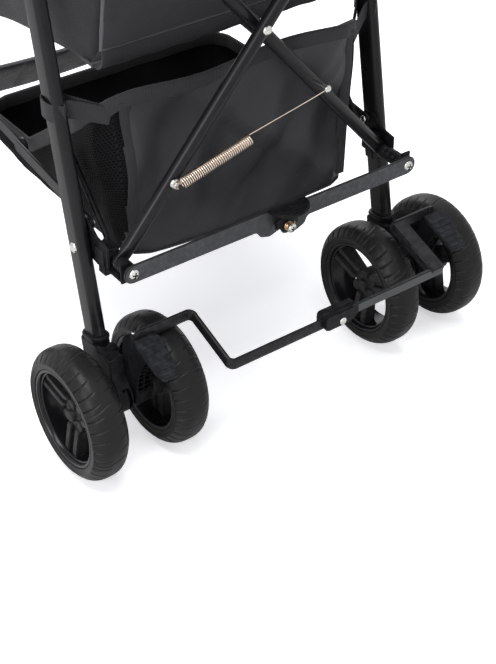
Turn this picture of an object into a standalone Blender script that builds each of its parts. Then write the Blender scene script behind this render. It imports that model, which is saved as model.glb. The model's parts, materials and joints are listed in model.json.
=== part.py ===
"""Umbrella-fold pushchair: side frames, crossed rear tubes, rear brace with foot lever, linked brake, soft seat.

Metres, +Z up, +Y towards the front wheels, +X to the right as seen from behind. Every place below is laid out
from the rear axle, on the floor, midway between the wheels; one empty then moves it all to the middle of its box.
"""

import math

import bmesh
import bpy
from mathutils import Matrix, Vector

# Wheels
WHEEL_R = 0.0775
TYRE_W = 0.0443
TYRE_DROP = 0.0118
TYRE_BORE_R = 0.0581
RIM_R = 0.0578
RIM_OPEN_R = 0.0530
HUB_R = 0.0185
WHEEL_STEPS = 28
HUB_STEPS = 12
REAR_OUT = 0.0519
REAR_IN = 0.0523
FRONT_APART = 0.0360

# Tubes of the side frames, flat ovals of one size
SIDE_X = 0.2060
OVAL_W = 0.0155
OVAL_D = 0.0300
LEG_FOOT_Y = 0.0421
LEG_FOOT_Z = 0.1360
LEG_LEAN = 0.1835
HINGE_Z = 0.5560
PUSH_OFFSET = 0.0440
PUSH_SLOPE = 0.90
PUSH_FOOT_Z = 0.1950
PUSH_BEND_Z = 0.7900
PUSH_TOP_LEAN = math.radians(25)
PUSH_TOP_Z = 0.9800
GRIP_END_Y = -0.2775
GRIP_R = 0.0165

# Pivots of the crossed tubes, the rear brace and the brake
PIVOT_X = 0.1870
PIVOT_Z = 0.2380
CROSS_HALF_ANGLE = math.radians(41.3)
CROSS_REAR_Y = 0.0135
CROSS_FRONT_Y = 0.0300
CROSS_R = 0.0075
CROSS_TAB = 0.0050
BRACKET_Y = 0.0615
BRACKET_Z = 0.2415
BRACE_H = 0.0225
BRACE_T = 0.0030
BRACE_Y = -0.0130
LEVER_X = 0.0080
BAR_H = 0.0130
BAR_T = 0.0045
BRAKE_FRONT_Y = -0.0200
BRAKE_FRONT_Z = 0.1630
BRAKE_REAR_Y = -0.0856
BRAKE_REAR_Z = 0.1295
BRAKE_CORNER_X = -0.1190
KNUCKLE_X = 0.0336
KNUCKLE_LEFT_X = 0.0080
KNUCKLE_RIGHT_X = 0.0565
KNUCKLE_LOW_Z = 0.1215
KNUCKLE_HIGH_Z = 0.1425
PEDAL_X = 0.0188

# Castors
SWIVEL_Y = 0.5050
TRAIL = 0.0300

# Folding side stays
STAY_X = 0.1900
STAY_REAR = (0.0640, 0.2625)
STAY_FRONT = (0.3620, 0.3090)
STAY_T = 0.0030

GAP = 0.0003
AXLE_R = 0.0050
FRONT_END = SWIVEL_Y - TRAIL + WHEEL_R
ORIGIN_Y = (FRONT_END + GRIP_END_Y) / 2

for old in list(bpy.data.objects):
    bpy.data.objects.remove(old, do_unlink=True)

parts = bpy.data.collections.new("pushchair")
cutters = bpy.data.collections.new("cutters")
bpy.context.scene.collection.children.link(parts)
bpy.context.scene.collection.children.link(cutters)
cutters.hide_render = True
base = bpy.data.objects.new("pushchair_origin", None)
base.location = (0, -ORIGIN_Y, 0)
parts.objects.link(base)


def material(name, colour, roughness, metallic=0.0):
    made = bpy.data.materials.new(name)
    made.use_nodes = True
    shader = made.node_tree.nodes["Principled BSDF"]
    shader.inputs["Base Color"].default_value = (*colour, 1)
    shader.inputs["Roughness"].default_value = roughness
    shader.inputs["Metallic"].default_value = metallic
    return made


BLACK_TUBE = material("black_paint", (0.012, 0.012, 0.013), 0.35)
GREY_BAR = material("grey_bar", (0.045, 0.048, 0.052), 0.45, 0.3)
TYRE = material("tyre_foam", (0.026, 0.026, 0.024), 0.75)
PLASTIC = material("black_plastic", (0.012, 0.012, 0.013), 0.40)
GLOSS = material("gloss_rim", (0.008, 0.008, 0.009), 0.18)
STEEL = material("zinc_steel", (0.62, 0.62, 0.60), 0.30, 1.0)
COPPER = material("spring_wire", (0.55, 0.36, 0.20), 0.35, 1.0)
FOAM = material("grip_foam", (0.020, 0.020, 0.020), 0.85)
FABRIC = material("black_fabric", (0.015, 0.015, 0.017), 0.85)
MESH_CLOTH = material("mesh_cloth", (0.020, 0.020, 0.020), 0.80)
WEBBING = material("webbing", (0.025, 0.025, 0.027), 0.80)


def leg_y(z):
    return LEG_FOOT_Y + LEG_LEAN * (z - LEG_FOOT_Z)


LEAN_ANGLE = math.atan(LEG_LEAN)
PUSH_ANGLE = math.atan(PUSH_SLOPE)
HINGE_Y = leg_y(HINGE_Z)
PUSH_UP = Vector((0, -math.sin(PUSH_ANGLE), math.cos(PUSH_ANGLE)))
PUSH_OUT = Vector((0, math.cos(PUSH_ANGLE), math.sin(PUSH_ANGLE)))
PUSH_POINT = Vector((0, HINGE_Y, HINGE_Z)) + PUSH_OUT * PUSH_OFFSET
CROSS_HALF = PIVOT_X / math.sin(CROSS_HALF_ANGLE)
CROSS_TOP_Z = PIVOT_Z + 2 * CROSS_HALF * math.cos(CROSS_HALF_ANGLE)


def push_y(z):
    return PUSH_POINT.y - PUSH_SLOPE * (z - PUSH_POINT.z)


def mesh_object(name, mesh, coll=cutters):
    obj = bpy.data.objects.new(name, mesh)
    coll.objects.link(obj)
    if coll is cutters:
        obj.hide_render = True
        obj.display_type = "WIRE"
    obj.parent = base
    return obj


def from_bmesh(name, bm):
    mesh = bpy.data.meshes.new(name)
    bm.to_mesh(mesh)
    bm.free()
    return mesh_object(name, mesh)


def evaluated_copy(obj, weld=True):
    """The object's evaluated shape as a plain mesh object, a curve's caps welded. The original is removed."""
    bpy.context.view_layer.update()
    graph = bpy.context.evaluated_depsgraph_get()
    mesh = bpy.data.meshes.new_from_object(obj.evaluated_get(graph))
    name, matrix = obj.name, obj.matrix_basis.copy()
    bpy.data.objects.remove(obj, do_unlink=True)
    if weld:
        bm = bmesh.new()
        bm.from_mesh(mesh)
        bmesh.ops.remove_doubles(bm, verts=bm.verts, dist=1e-5)
        bmesh.ops.recalc_face_normals(bm, faces=bm.faces)
        bm.to_mesh(mesh)
        bm.free()
    mesh.transform(matrix)
    return mesh_object(name, mesh)


def block(name, low, high, bevel=0.0, matrix=None):
    bm = bmesh.new()
    size = [high[i] - low[i] for i in range(3)]
    middle = [(high[i] + low[i]) / 2 for i in range(3)]
    place = Matrix.Translation(middle) @ Matrix.Diagonal((*size, 1))
    bmesh.ops.create_cube(bm, size=1, matrix=place)
    if bevel:
        bmesh.ops.bevel(bm, geom=bm.edges[:], offset=bevel, segments=1, affect="EDGES")
    if matrix:
        bmesh.ops.transform(bm, matrix=matrix, verts=bm.verts)
    return from_bmesh(name, bm)


def rod(name, start, end, radius, end_radius=None, steps=16):
    start, end = Vector(start), Vector(end)
    turn = (end - start).to_track_quat("Z", "Y").to_matrix().to_4x4()
    bm = bmesh.new()
    bmesh.ops.create_cone(
        bm,
        cap_ends=True,
        segments=steps,
        radius1=radius,
        radius2=radius if end_radius is None else end_radius,
        depth=(end - start).length,
        matrix=Matrix.Translation((start + end) / 2) @ turn,
    )
    return from_bmesh(name, bm)


def flat_curve(name, outline, holes=(), thickness=0.003):
    """A flat outline in the XY plane with round holes, as thick as asked, centred on the plane."""
    curve = bpy.data.curves.new(name, "CURVE")
    curve.dimensions = "2D"
    curve.fill_mode = "BOTH"
    curve.extrude = thickness / 2
    loops = [outline]
    for x, y, radius in holes:
        loops.append([(x + radius * math.cos(a), y + radius * math.sin(a)) for a in angles(12)])
    for points in loops:
        spline = curve.splines.new("POLY")
        spline.points.add(len(points) - 1)
        for point, (x, y) in zip(spline.points, points):
            point.co = (x, y, 0, 1)
        spline.use_cyclic_u = True
    obj = bpy.data.objects.new(name, curve)
    cutters.objects.link(obj)
    return obj


def angles(count, start=0.0, end=2 * math.pi):
    """Evenly spaced angles of a full turn, without the last one."""
    return [start + (end - start) * i / count for i in range(count)]


SIDE_PLANE = Matrix(((0, 0, 1, 0), (1, 0, 0, 0), (0, 1, 0, 0), (0, 0, 0, 1)))
REAR_PLANE = Matrix(((1, 0, 0, 0), (0, 0, -1, 0), (0, 1, 0, 0), (0, 0, 0, 1)))


def side_plate(name, outline, x, thickness, holes=()):
    """A plate whose outline is given as (y, z), in a plane across X."""
    obj = flat_curve(name, outline, holes, thickness)
    obj.matrix_basis = Matrix.Translation((x, 0, 0)) @ SIDE_PLANE
    return evaluated_copy(obj)


def rear_plate(name, outline, y, thickness, holes=()):
    """A plate whose outline is given as (x, z), in a plane across Y."""
    obj = flat_curve(name, outline, holes, thickness)
    obj.matrix_basis = Matrix.Translation((0, y, 0)) @ REAR_PLANE
    return evaluated_copy(obj)


def slot_outline(start, end, radius, steps=5):
    """A bar outline with round ends, between two points of a plane."""
    dx, dy = end[0] - start[0], end[1] - start[1]
    along = math.atan2(dy, dx)
    points = []
    for centre, first in ((end, along - math.pi / 2), (start, along + math.pi / 2)):
        for i in range(steps + 1):
            a = first + math.pi * i / steps
            points.append((centre[0] + radius * math.cos(a), centre[1] + radius * math.sin(a)))
    return points


def oval_outline(width=OVAL_W, depth=OVAL_D, steps=5):
    half = (depth - width) / 2
    return slot_outline((0, -half), (0, half), width / 2, steps)


def turned(name, profile, x, steps, closed=True, phase=0.0, y=0.0, z=0.0, turn=1):
    """A profile of (along, radius) turned about an axis parallel to X. It runs down the outer side."""
    bm = bmesh.new()
    verts = [bm.verts.new((radius, 0, along)) for along, radius in profile]
    pairs = list(zip(verts, verts[1:])) + ([(verts[-1], verts[0])] if closed else [])
    for pair in pairs:
        bm.edges.new(pair)
    obj = from_bmesh(name, bm)
    screw = obj.modifiers.new("Turn", "SCREW")
    screw.steps = screw.render_steps = steps
    screw.use_merge_vertices = True
    screw.merge_threshold = 1e-5
    spin = Matrix.Rotation(phase, 4, "Z")
    lay = Matrix.Rotation(turn * math.pi / 2, 4, "Y")
    obj.matrix_basis = Matrix.Translation((x, y, z)) @ lay @ spin
    return evaluated_copy(obj)


def swept(name, points, profile=None, radius=None, fine=2):
    """A tube or bar along points: round, or with a flat profile whose second axis stays upright."""
    curve = bpy.data.curves.new(name, "CURVE")
    curve.dimensions = "3D"
    curve.twist_mode = "Z_UP"
    curve.use_fill_caps = True
    spline = curve.splines.new("POLY")
    spline.points.add(len(points) - 1)
    for point, place in zip(spline.points, points):
        point.co = (*place, 1)
    shape = None
    if profile:
        shape = flat_curve(name + "_profile", profile, thickness=0)
        shape.data.fill_mode = "NONE"
        curve.bevel_mode = "OBJECT"
        curve.bevel_object = shape
    else:
        curve.bevel_depth = radius
        curve.bevel_resolution = fine
    obj = bpy.data.objects.new(name, curve)
    cutters.objects.link(obj)
    made = evaluated_copy(obj)
    if shape:
        bpy.data.objects.remove(shape, do_unlink=True)
    return made


def rounded(points, radius, steps=4):
    """The same path with its inner corners replaced by arcs."""
    points = [Vector(p) for p in points]
    path = [points[0]]
    for before, corner, after in zip(points, points[1:], points[2:]):
        one, two = (before - corner).normalized(), (after - corner).normalized()
        half = one.angle(two) / 2
        back = min(radius / math.tan(half), (before - corner).length * 0.49,
            (after - corner).length * 0.49)
        centre = corner + (one + two).normalized() * back / math.cos(half)
        first, last = corner + one * back - centre, corner + two * back - centre
        for i in range(steps + 1):
            path.append(centre + first.lerp(last, i / steps).normalized() * first.length)
    return path + [points[-1]]


def combine(name, pieces, paint, pivot=(0, 0, 0), cut=()):
    """Joins the pieces into one solid, cuts the others from it, and places its origin on its pivot."""
    first, *others = pieces
    for operation, tools in (("UNION", others), ("DIFFERENCE", cut)):
        for tool in tools:
            change = first.modifiers.new(operation.title(), "BOOLEAN")
            change.operation = operation
            change.object = tool
    return node(name, evaluated_copy(first) if others or cut else first, paint, pivot, others + list(cut))


def node(name, obj, paint, pivot=(0, 0, 0), spent=()):
    for tool in spent:
        bpy.data.objects.remove(tool, do_unlink=True)
    cutters.objects.unlink(obj)
    parts.objects.link(obj)
    obj.hide_render = False
    obj.display_type = "TEXTURED"
    obj.name = name
    obj.data.name = name
    obj.data.transform(Matrix.Translation(-Vector(pivot)))
    obj.location = pivot
    obj.data.materials.clear()
    obj.data.materials.append(paint)
    obj.data.shade_smooth()
    obj.data.set_sharp_from_angle(angle=math.radians(35))
    return obj


# Wheels
def tyre_profile():
    half = TYRE_W / 2
    outer = WHEEL_R / math.cos(math.pi / WHEEL_STEPS)
    crown = [(half * u, outer - TYRE_DROP * abs(u) ** 3) for u in (1.0, 0.8, 0.3, -0.3, -0.8, -1.0)]
    crown[2] = (crown[2][0], outer)
    crown[3] = (crown[3][0], outer)
    return crown + [(-half * 0.92, TYRE_BORE_R), (half * 0.92, TYRE_BORE_R)]


def wheel(where, x, y, outward):
    """A foam tyre on a three-spoke rim. The spoked face looks outward."""
    centre = (x, y, WHEEL_R)
    phase = math.pi / WHEEL_STEPS
    tyre = turned("tyre", tyre_profile(), x, WHEEL_STEPS, phase=phase, y=y, z=WHEEL_R)
    node("tyre_" + where, tyre, TYRE, centre)
    half = TYRE_W / 2 * 0.9
    barrel_shape = [(half, RIM_R), (-half, RIM_R), (-half, RIM_OPEN_R + 0.001), (half, RIM_OPEN_R)]
    barrel = turned("rim", barrel_shape, x, WHEEL_STEPS, phase=phase, y=y, z=WHEEL_R)
    cap, bore = 0.0165, AXLE_R + GAP
    hub_shape = [(cap, 0), (cap, HUB_R * 0.8), (cap - 0.003, HUB_R), (-0.017, HUB_R * 0.9)]
    hub_shape += [(-0.017, bore), (0.0125, bore), (0.0125, 0)]
    hub = turned("hub", hub_shape, x, HUB_STEPS, closed=False, y=y, z=WHEEL_R, turn=outward)
    spokes = []
    for k in range(3):
        turn = Matrix.Translation(centre) @ Matrix.Rotation(2 * math.pi * k / 3 + math.pi, 4, "X")
        for side in (-1, 1):
            low = (-0.003 if outward > 0 else -0.011, side * 0.0078 - 0.0036, 0.010)
            high = (0.011 if outward > 0 else 0.003, side * 0.0078 + 0.0036, RIM_OPEN_R + 0.0025)
            spokes.append(block("spoke", low, high, matrix=turn))
    combine("rim_" + where, [barrel, hub] + spokes, GLOSS, centre)


for label, side in (("left", -1), ("right", 1)):
    wheel(f"rear_{label}_outer", side * (SIDE_X + REAR_OUT), 0, side)
    wheel(f"rear_{label}_inner", side * (SIDE_X - REAR_IN), 0, -side)
    front_axle_y = SWIVEL_Y - TRAIL
    wheel(f"front_{label}_outer", side * (SIDE_X + FRONT_APART), front_axle_y, side)
    wheel(f"front_{label}_inner", side * (SIDE_X - FRONT_APART), front_axle_y, -side)


# Axles
def axle(name, x, y, reach_out, reach_in):
    side = math.copysign(1, x)
    start, end = (x - side * reach_in, y, WHEEL_R), (x + side * reach_out, y, WHEEL_R)
    node(name, rod(name, start, end, AXLE_R, steps=12), STEEL, (x, y, WHEEL_R))


for label, side in (("left", -1), ("right", 1)):
    axle(f"rear_axle_{label}", side * SIDE_X, 0, REAR_OUT + 0.011, REAR_IN + 0.011)


# Rear legs and the housings that hold them on the axles
def rear_leg(label, x):
    foot = Vector((x, LEG_FOOT_Y, LEG_FOOT_Z + GAP))
    length = (HINGE_Z - LEG_FOOT_Z) / math.cos(LEAN_ANGLE) + 0.012
    tube = flat_curve("leg", oval_outline(), thickness=length)
    turn = Matrix.Rotation(-LEAN_ANGLE, 4, "X")
    tube.matrix_basis = Matrix.Translation(foot) @ turn @ Matrix.Translation((0, 0, length / 2 + GAP))
    hinge_hole = rod("hole", (x - 0.02, HINGE_Y, HINGE_Z), (x + 0.02, HINGE_Y, HINGE_Z), 0.0043, steps=12)
    low_hole = rod("hole", (x - 0.02, BRACKET_Y, BRACKET_Z), (x + 0.02, BRACKET_Y, BRACKET_Z), 0.0036,
        steps=12)
    made = evaluated_copy(tube)
    combine("rear_leg_" + label, [made], BLACK_TUBE, (x, HINGE_Y, HINGE_Z), [hinge_hole, low_hole])


def axle_housing(label, x):
    wide = 0.0195
    middle = x - 0.00125
    body_shape = [(0.0240, 0.1386), (0.0605, 0.1319), (0.0575, 0.1120), (0.0330, 0.0720), (0.0150,
        0.0600)]
    body_shape += [(-0.0150, 0.0640), (-0.0195, 0.0790), (-0.0120, 0.0920)]
    body = side_plate("body", body_shape, middle, wide)
    boss = rod("boss", (middle - wide / 2 - 0.0005, 0, WHEEL_R), (middle + wide / 2, 0, WHEEL_R), 0.0200)
    collar = block("collar", (x - 0.0115, -0.0195, -0.0080), (x + 0.0115, 0.0195, 0), 0.002)
    collar.data.transform(
        Matrix.Translation((0, LEG_FOOT_Y, LEG_FOOT_Z)) @ Matrix.Rotation(-LEAN_ANGLE, 4, "X")
    )
    bore = rod("bore", (x - 0.05, 0, WHEEL_R), (x + 0.05, 0, WHEEL_R), AXLE_R + GAP, steps=12)
    combine("axle_housing_" + label, [body, boss, collar], PLASTIC, (x, 0, WHEEL_R), [bore])


for label, side in (("left", -1), ("right", 1)):
    rear_leg(label, side * SIDE_X)
    axle_housing(label, side * SIDE_X)


# Push tubes, grips, leg hinges and castor sockets
def push_path(x):
    foot = (x, push_y(PUSH_FOOT_Z), PUSH_FOOT_Z)
    bend = (x, push_y(PUSH_BEND_Z), PUSH_BEND_Z)
    top_y = bend[1] - math.tan(PUSH_TOP_LEAN) * (PUSH_TOP_Z - PUSH_BEND_Z)
    high_z = PUSH_TOP_Z + 0.027
    high_y = top_y - math.tan(PUSH_TOP_LEAN) * 0.027
    path = rounded([foot, bend, (x, high_y, high_z), (x, GRIP_END_Y + 0.0045, high_z)], 0.045, 5)
    return path, high_z, high_y


def push_tube(label, x):
    path, high_z, high_y = push_path(x)
    tube = swept("push", path, oval_outline(OVAL_W, OVAL_D))
    node("push_tube_" + label, tube, BLACK_TUBE, path[0])
    grip_start, grip_end = high_y - 0.033, GRIP_END_Y
    inside = [(p[0] * 1.04, p[1] * 1.03) for p in oval_outline()]
    shell = rod("grip", (x, grip_start, high_z), (x, grip_end, high_z), GRIP_R + 0.002, GRIP_R, 20)
    hollow = flat_curve("hollow", inside, thickness=grip_start - grip_end + 0.01)
    hollow.matrix_basis = Matrix.Translation((x, (grip_start + grip_end) / 2 + 0.009,
        high_z)) @ Matrix.Rotation(
        math.pi / 2, 4, "X"
    )
    combine("grip_" + label, [shell], FOAM, (x, grip_start, high_z), [evaluated_copy(hollow)])


def leg_hinge(label, x):
    """Two cheeks on the push tube with the leg between them on a rivet."""
    up, out = PUSH_UP, PUSH_OUT
    centre = Vector((0, HINGE_Y, HINGE_Z))
    corners = [(-0.019, -0.012), (-0.012, -0.018), (0.014, -0.016), (0.030, 0.018), (0.032, 0.055),
        (-0.034, 0.055)]
    outline = [tuple((centre + up * a + out * b)[1:]) for a, b in corners]
    reach = OVAL_W / 2 + 0.0004
    cheeks = [side_plate("cheek", outline, x + s * (reach + 0.00125), 0.0025) for s in (-1, 1)]
    pin = rod("pin", (x - reach - 0.0045, HINGE_Y, HINGE_Z), (x + reach + 0.0045, HINGE_Y, HINGE_Z),
        0.0040, steps=12)
    heads = [
        rod("head", (x + s * (reach + 0.002), HINGE_Y, HINGE_Z), (x + s * (reach + 0.0050), HINGE_Y,
            HINGE_Z), 0.0075, 0.005)
        for s in (-1, 1)
    ]
    combine("leg_hinge_" + label, [*cheeks, pin, *heads], PLASTIC, (x, HINGE_Y, HINGE_Z))


def castor_socket(label, x):
    """The plastic foot of a push tube. The tube stands on it, and the castor turns under it."""
    foot = Vector((x, push_y(PUSH_FOOT_Z), PUSH_FOOT_Z))
    body = rod("socket", (x, SWIVEL_Y, 0.1660), (x, SWIVEL_Y, 0.1780), 0.0250, 0.0240, 20)
    arm = block("arm", (-0.0125, -0.0195, -0.0200), (0.0125, 0.0195, -GAP), 0.003)
    arm.data.transform(Matrix.Translation(foot) @ Matrix.Rotation(PUSH_ANGLE, 4, "X"))
    combine("castor_socket_" + label, [body, arm], PLASTIC, (x, SWIVEL_Y, 0.166))


def castor_fork(label, x):
    """The turning part of a castor: a round top, and a blade between the two wheels down to the axle."""
    axle_y = SWIVEL_Y - TRAIL
    top = rod("top", (x, SWIVEL_Y, 0.1580), (x, SWIVEL_Y, 0.1655), 0.0240, 0.0250, 20)
    blade_shape = [(SWIVEL_Y + 0.020, 0.1600), (SWIVEL_Y - 0.020, 0.1600), (axle_y - 0.017, 0.0850)]
    blade_shape += [(axle_y - 0.010, 0.0620), (axle_y + 0.010, 0.0620), (axle_y + 0.017, 0.0850),
        (SWIVEL_Y + 0.014, 0.1400)]
    blade = side_plate("blade", blade_shape, x, 0.0220)
    reach = FRONT_APART + 0.0110
    pin = rod("axle", (x - reach, axle_y, WHEEL_R), (x + reach, axle_y, WHEEL_R), AXLE_R, steps=12)
    combine("castor_fork_" + label, [top, blade, pin], PLASTIC, (x, SWIVEL_Y, 0.158))


for label, side in (("left", -1), ("right", 1)):
    push_tube(label, side * SIDE_X)
    leg_hinge(label, side * SIDE_X)
    castor_socket(label, side * SIDE_X)
    castor_fork(label, side * SIDE_X)


# Lower brackets: cheeks on the leg, a web behind it and the long bolt of the crossed tube and the brace
def lower_bracket(label, side, cross_y, brace_y):
    x = side * SIDE_X
    reach = OVAL_W / 2 + 0.0004
    cheek_shape = [(0.0790, 0.2300), (0.0790, 0.2560), (0.0700, 0.2720), (0.0560, 0.2720), (0.0400,
        0.2560)]
    cheek_shape += [(-0.0080, 0.2500), (-0.0080, 0.2260), (0.0400, 0.2240)]
    cheeks = [side_plate("cheek", cheek_shape, x + s * (reach + 0.00125), 0.0025) for s in (-1, 1)]
    web_x = sorted((side * (PIVOT_X - 0.012), x + side * (reach + 0.0020)))
    web = block("web", (web_x[0], -0.0090, 0.2255), (web_x[1], -0.0062, 0.2500))
    bolt_end = cross_y + CROSS_TAB / 2 + 0.0045
    px = side * PIVOT_X
    bolt = rod("bolt", (px, brace_y - 0.0040, PIVOT_Z), (px, bolt_end, PIVOT_Z), 0.0030, steps=12)
    heads = [
        rod("head", (px, brace_y - 0.0050, PIVOT_Z), (px, brace_y - BRACE_T / 2 - 0.0004, PIVOT_Z),
            0.0045, 0.0058),
        rod("nut", (px, bolt_end, PIVOT_Z), (px, bolt_end - 0.0038, PIVOT_Z), 0.0055, steps=6),
    ]
    spacer = rod("spacer", (px, -0.0080, PIVOT_Z), (px, cross_y - CROSS_TAB / 2 - 0.0004, PIVOT_Z),
        0.0058, steps=12)
    pin = rod("rivet", (x - reach - 0.0040, BRACKET_Y, BRACKET_Z), (x + reach + 0.0040, BRACKET_Y,
        BRACKET_Z), 0.0032, steps=12)
    rivet_heads = [
        rod(
            "head",
            (x + s * (reach + 0.0020), BRACKET_Y, BRACKET_Z),
            (x + s * (reach + 0.0045), BRACKET_Y, BRACKET_Z),
            0.0055,
            0.0035,
        )
        for s in (-1, 1)
    ]
    stay_pin = rod(
        "stay_pin",
        (x - side * (reach + 0.0010), *STAY_REAR),
        (side * (STAY_X - 0.0040), *STAY_REAR),
        0.0025,
        steps=12,
    )
    wire_x = side * 0.1800
    wire_low = (wire_x, 0.0500, 0.2430)
    wire = swept("wire", [(side * 0.1960, 0.0500, 0.2430), wire_low, (wire_x, 0.1150, 0.3205)],
        radius=0.0022)
    pieces = [*cheeks, web, bolt, *heads, spacer, pin, *rivet_heads, stay_pin, wire]
    combine("lower_bracket_" + label, pieces, PLASTIC, (x, BRACKET_Y, BRACKET_Z))


BRACE_REAR_Y = BRACE_Y - BRACE_T - 0.0007
lower_bracket("left", -1, CROSS_REAR_Y, BRACE_Y)
lower_bracket("right", 1, CROSS_FRONT_Y, BRACE_REAR_Y)


# Crossed tubes: the rear one rises from the left bracket, the front one from the right
def crossed_tube(name, side, y, rivets=(), anchor=False):
    low = Vector((side * PIVOT_X, y, PIVOT_Z))
    high = Vector((-side * PIVOT_X, y, CROSS_TOP_Z))
    along = (high - low).normalized()
    tube = rod("tube", low + along * 0.0180, high - along * 0.0380, CROSS_R, steps=16)
    pieces = [tube]
    for end, inward in ((low, along * 0.0300), (high, along * -0.0500)):
        far = end + inward
        outline = slot_outline((end.x, end.z), (far.x, far.z), 0.0078)
        hole = [(end.x, end.z, 0.0034)] if end is low else []
        pieces.append(rear_plate("tab", outline, y, CROSS_TAB, hole))
    head = rod("head", high + Vector((0, -0.0020, 0)), high + Vector((0, -0.0055, 0)), 0.0060, 0.0040)
    pieces.append(head)
    for share in rivets:
        place = low + along * share
        pieces.append(rod("rivet", place, place - Vector((0, CROSS_R + 0.0028, 0)), 0.0045))
    if anchor:
        place = low + along * 0.1680
        pieces.append(rod("anchor", place, place - Vector((0,
            CROSS_FRONT_Y - CROSS_REAR_Y + CROSS_R + 0.0080, 0)), 0.0030))
    combine(name, pieces, BLACK_TUBE, tuple(low))


crossed_tube("cross_tube_left", -1, CROSS_REAR_Y, rivets=(0.1010, CROSS_HALF))
crossed_tube("cross_tube_right", 1, CROSS_FRONT_Y, anchor=True)


# Sliders that carry the upper ends of the crossed tubes along the push tubes
def cross_slider(label, side, cross_y):
    x = side * SIDE_X
    place = Vector((x, push_y(CROSS_TOP_Z), CROSS_TOP_Z))
    turn = Matrix.Translation(place) @ Matrix.Rotation(PUSH_ANGLE, 4, "X")
    sleeve = block("sleeve", (-0.0125, -0.0205, -0.0210), (0.0125, 0.0205, 0.0210), 0.003, turn)
    grown = [(p[0] * 1.06, p[1] * 1.04) for p in oval_outline()]
    hollow = flat_curve("hollow", grown, thickness=0.06)
    hollow.matrix_basis = turn
    lug_x = sorted((side * (PIVOT_X - 0.007), side * (PIVOT_X + 0.010)))
    lug = block("lug", (lug_x[0], cross_y + CROSS_TAB / 2 + 0.0115, CROSS_TOP_Z - 0.006), (lug_x[1],
        place.y, CROSS_TOP_Z + 0.006), 0.001)
    combine("cross_slider_" + label, [sleeve, lug], PLASTIC, tuple(place), [evaluated_copy(hollow)])


cross_slider("left", -1, CROSS_FRONT_Y)
cross_slider("right", 1, CROSS_REAR_Y)


# Rear brace: two flat bars, a foot lever on the right one and its torsion spring
def brace_bar(label, side, end_x, y, lobe):
    low, high = PIVOT_Z - BRACE_H / 2, PIVOT_Z + BRACE_H / 2
    start_x = side * PIVOT_X
    nose = [(start_x + side * BRACE_H / 2 * math.sin(a),
        PIVOT_Z + BRACE_H / 2 * math.cos(a)) for a in angles(7, 0.0, math.pi)]
    outline = nose + [(start_x, low)]
    outline += [(x, z) for x, z in lobe]
    outline += [(end_x, high)]
    if side < 0:
        outline.reverse()
    hole = [(start_x, PIVOT_Z, 0.0034)]
    bar = rear_plate("bar", outline, y, BRACE_T, hole)
    combine("brace_bar_" + label, [bar], GREY_BAR, (start_x, y, PIVOT_Z))


low_z = PIVOT_Z - BRACE_H / 2
LEFT_LOBE = [(-0.0280, low_z), (-0.0220, low_z - 0.0080), (-0.0100, low_z - 0.0115), (0.0080,
    low_z - 0.0060), (0.0180, low_z + 0.0080)]
RIGHT_LOBE = [(0.0400, low_z), (0.0360, low_z - 0.0090), (0.0240, low_z - 0.0140), (0.0060,
    low_z - 0.0120), (-0.0030, low_z + 0.0040)]
brace_bar("left", -1, 0.0180, BRACE_Y, LEFT_LOBE)
brace_bar("right", 1, -0.0030, BRACE_REAR_Y, RIGHT_LOBE)


def foot_lever():
    hub_y = BRACE_Y - 1.5 * BRACE_T - 0.0007 - GAP
    centre = (LEVER_X, PIVOT_Z - 0.0100)
    hub = rod("hub", (centre[0], hub_y, centre[1]), (centre[0], hub_y - 0.0035, centre[1]), 0.0085)
    stem = block("stem", (-0.0060, hub_y - 0.0035, PIVOT_Z - 0.0090), (0.0220, hub_y, PIVOT_Z + 0.0160))
    outline = [(0.0080 + 0.0260 * math.cos(a), hub_y - 0.0270 * math.sin(a)) for a in angles(14, 0,
        math.pi)]
    outline.append((0.0080 - 0.0260, hub_y))
    pad = flat_curve("pad", outline, thickness=0.0042)
    pad.matrix_basis = Matrix.Translation((0, 0, PIVOT_Z + 0.0150))
    screw_end = hub_y - 0.0115
    bolt = rod("bolt", (centre[0], hub_y - 0.002, centre[1]), (centre[0], screw_end, centre[1]), 0.0028,
        steps=12)
    head = rod("head", (centre[0], screw_end + 0.0005, centre[1]), (centre[0], screw_end - 0.0022,
        centre[1]), 0.0055, 0.0040)
    combine("foot_lever", [hub, stem, evaluated_copy(pad), bolt, head], PLASTIC, (centre[0], hub_y,
        centre[1]))
    coil(
        "torsion_spring",
        Vector((centre[0], hub_y - 0.0051, centre[1])),
        Vector((centre[0], screw_end + 0.0018, centre[1])),
        radius=0.0048,
        wire=0.0005,
        turns=3,
        leg_length=0.0070,
    )


def coil(name, start, end, radius, wire, turns, leg_length=0.0, points=10):
    """A helix between two points, one unbroken wire with straight ends. Prints its least gap to itself."""
    along = (end - start).normalized()
    side = along.cross(Vector((0, 0, 1))).normalized()
    other = along.cross(side)
    count = turns * points
    path = []
    for i in range(count + 1):
        a = 2 * math.pi * i / points
        out = (side * math.cos(a) + other * math.sin(a)) * radius
        path.append(start + (end - start) * (i / count) + out)
    pitch = (end - start).length / turns
    nearest = min((p - q).length for k, p in enumerate(path) for q in path[k + points - 2 :])
    gap = (nearest - 2 * wire) * 1000
    print(f"{name}: {turns} curls, pitch {pitch * 1000:.2f} mm, least gap {gap:.2f} mm")
    if leg_length:
        tangent = (path[1] - path[0]).normalized()
        path.insert(0, path[0] - tangent * leg_length)
        path.append(path[-1] + (path[-1] - path[-2]).normalized() * leg_length)
    obj = swept(name, path, radius=wire, fine=1)
    return node(name, obj, COPPER, tuple(start))


foot_lever()


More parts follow.
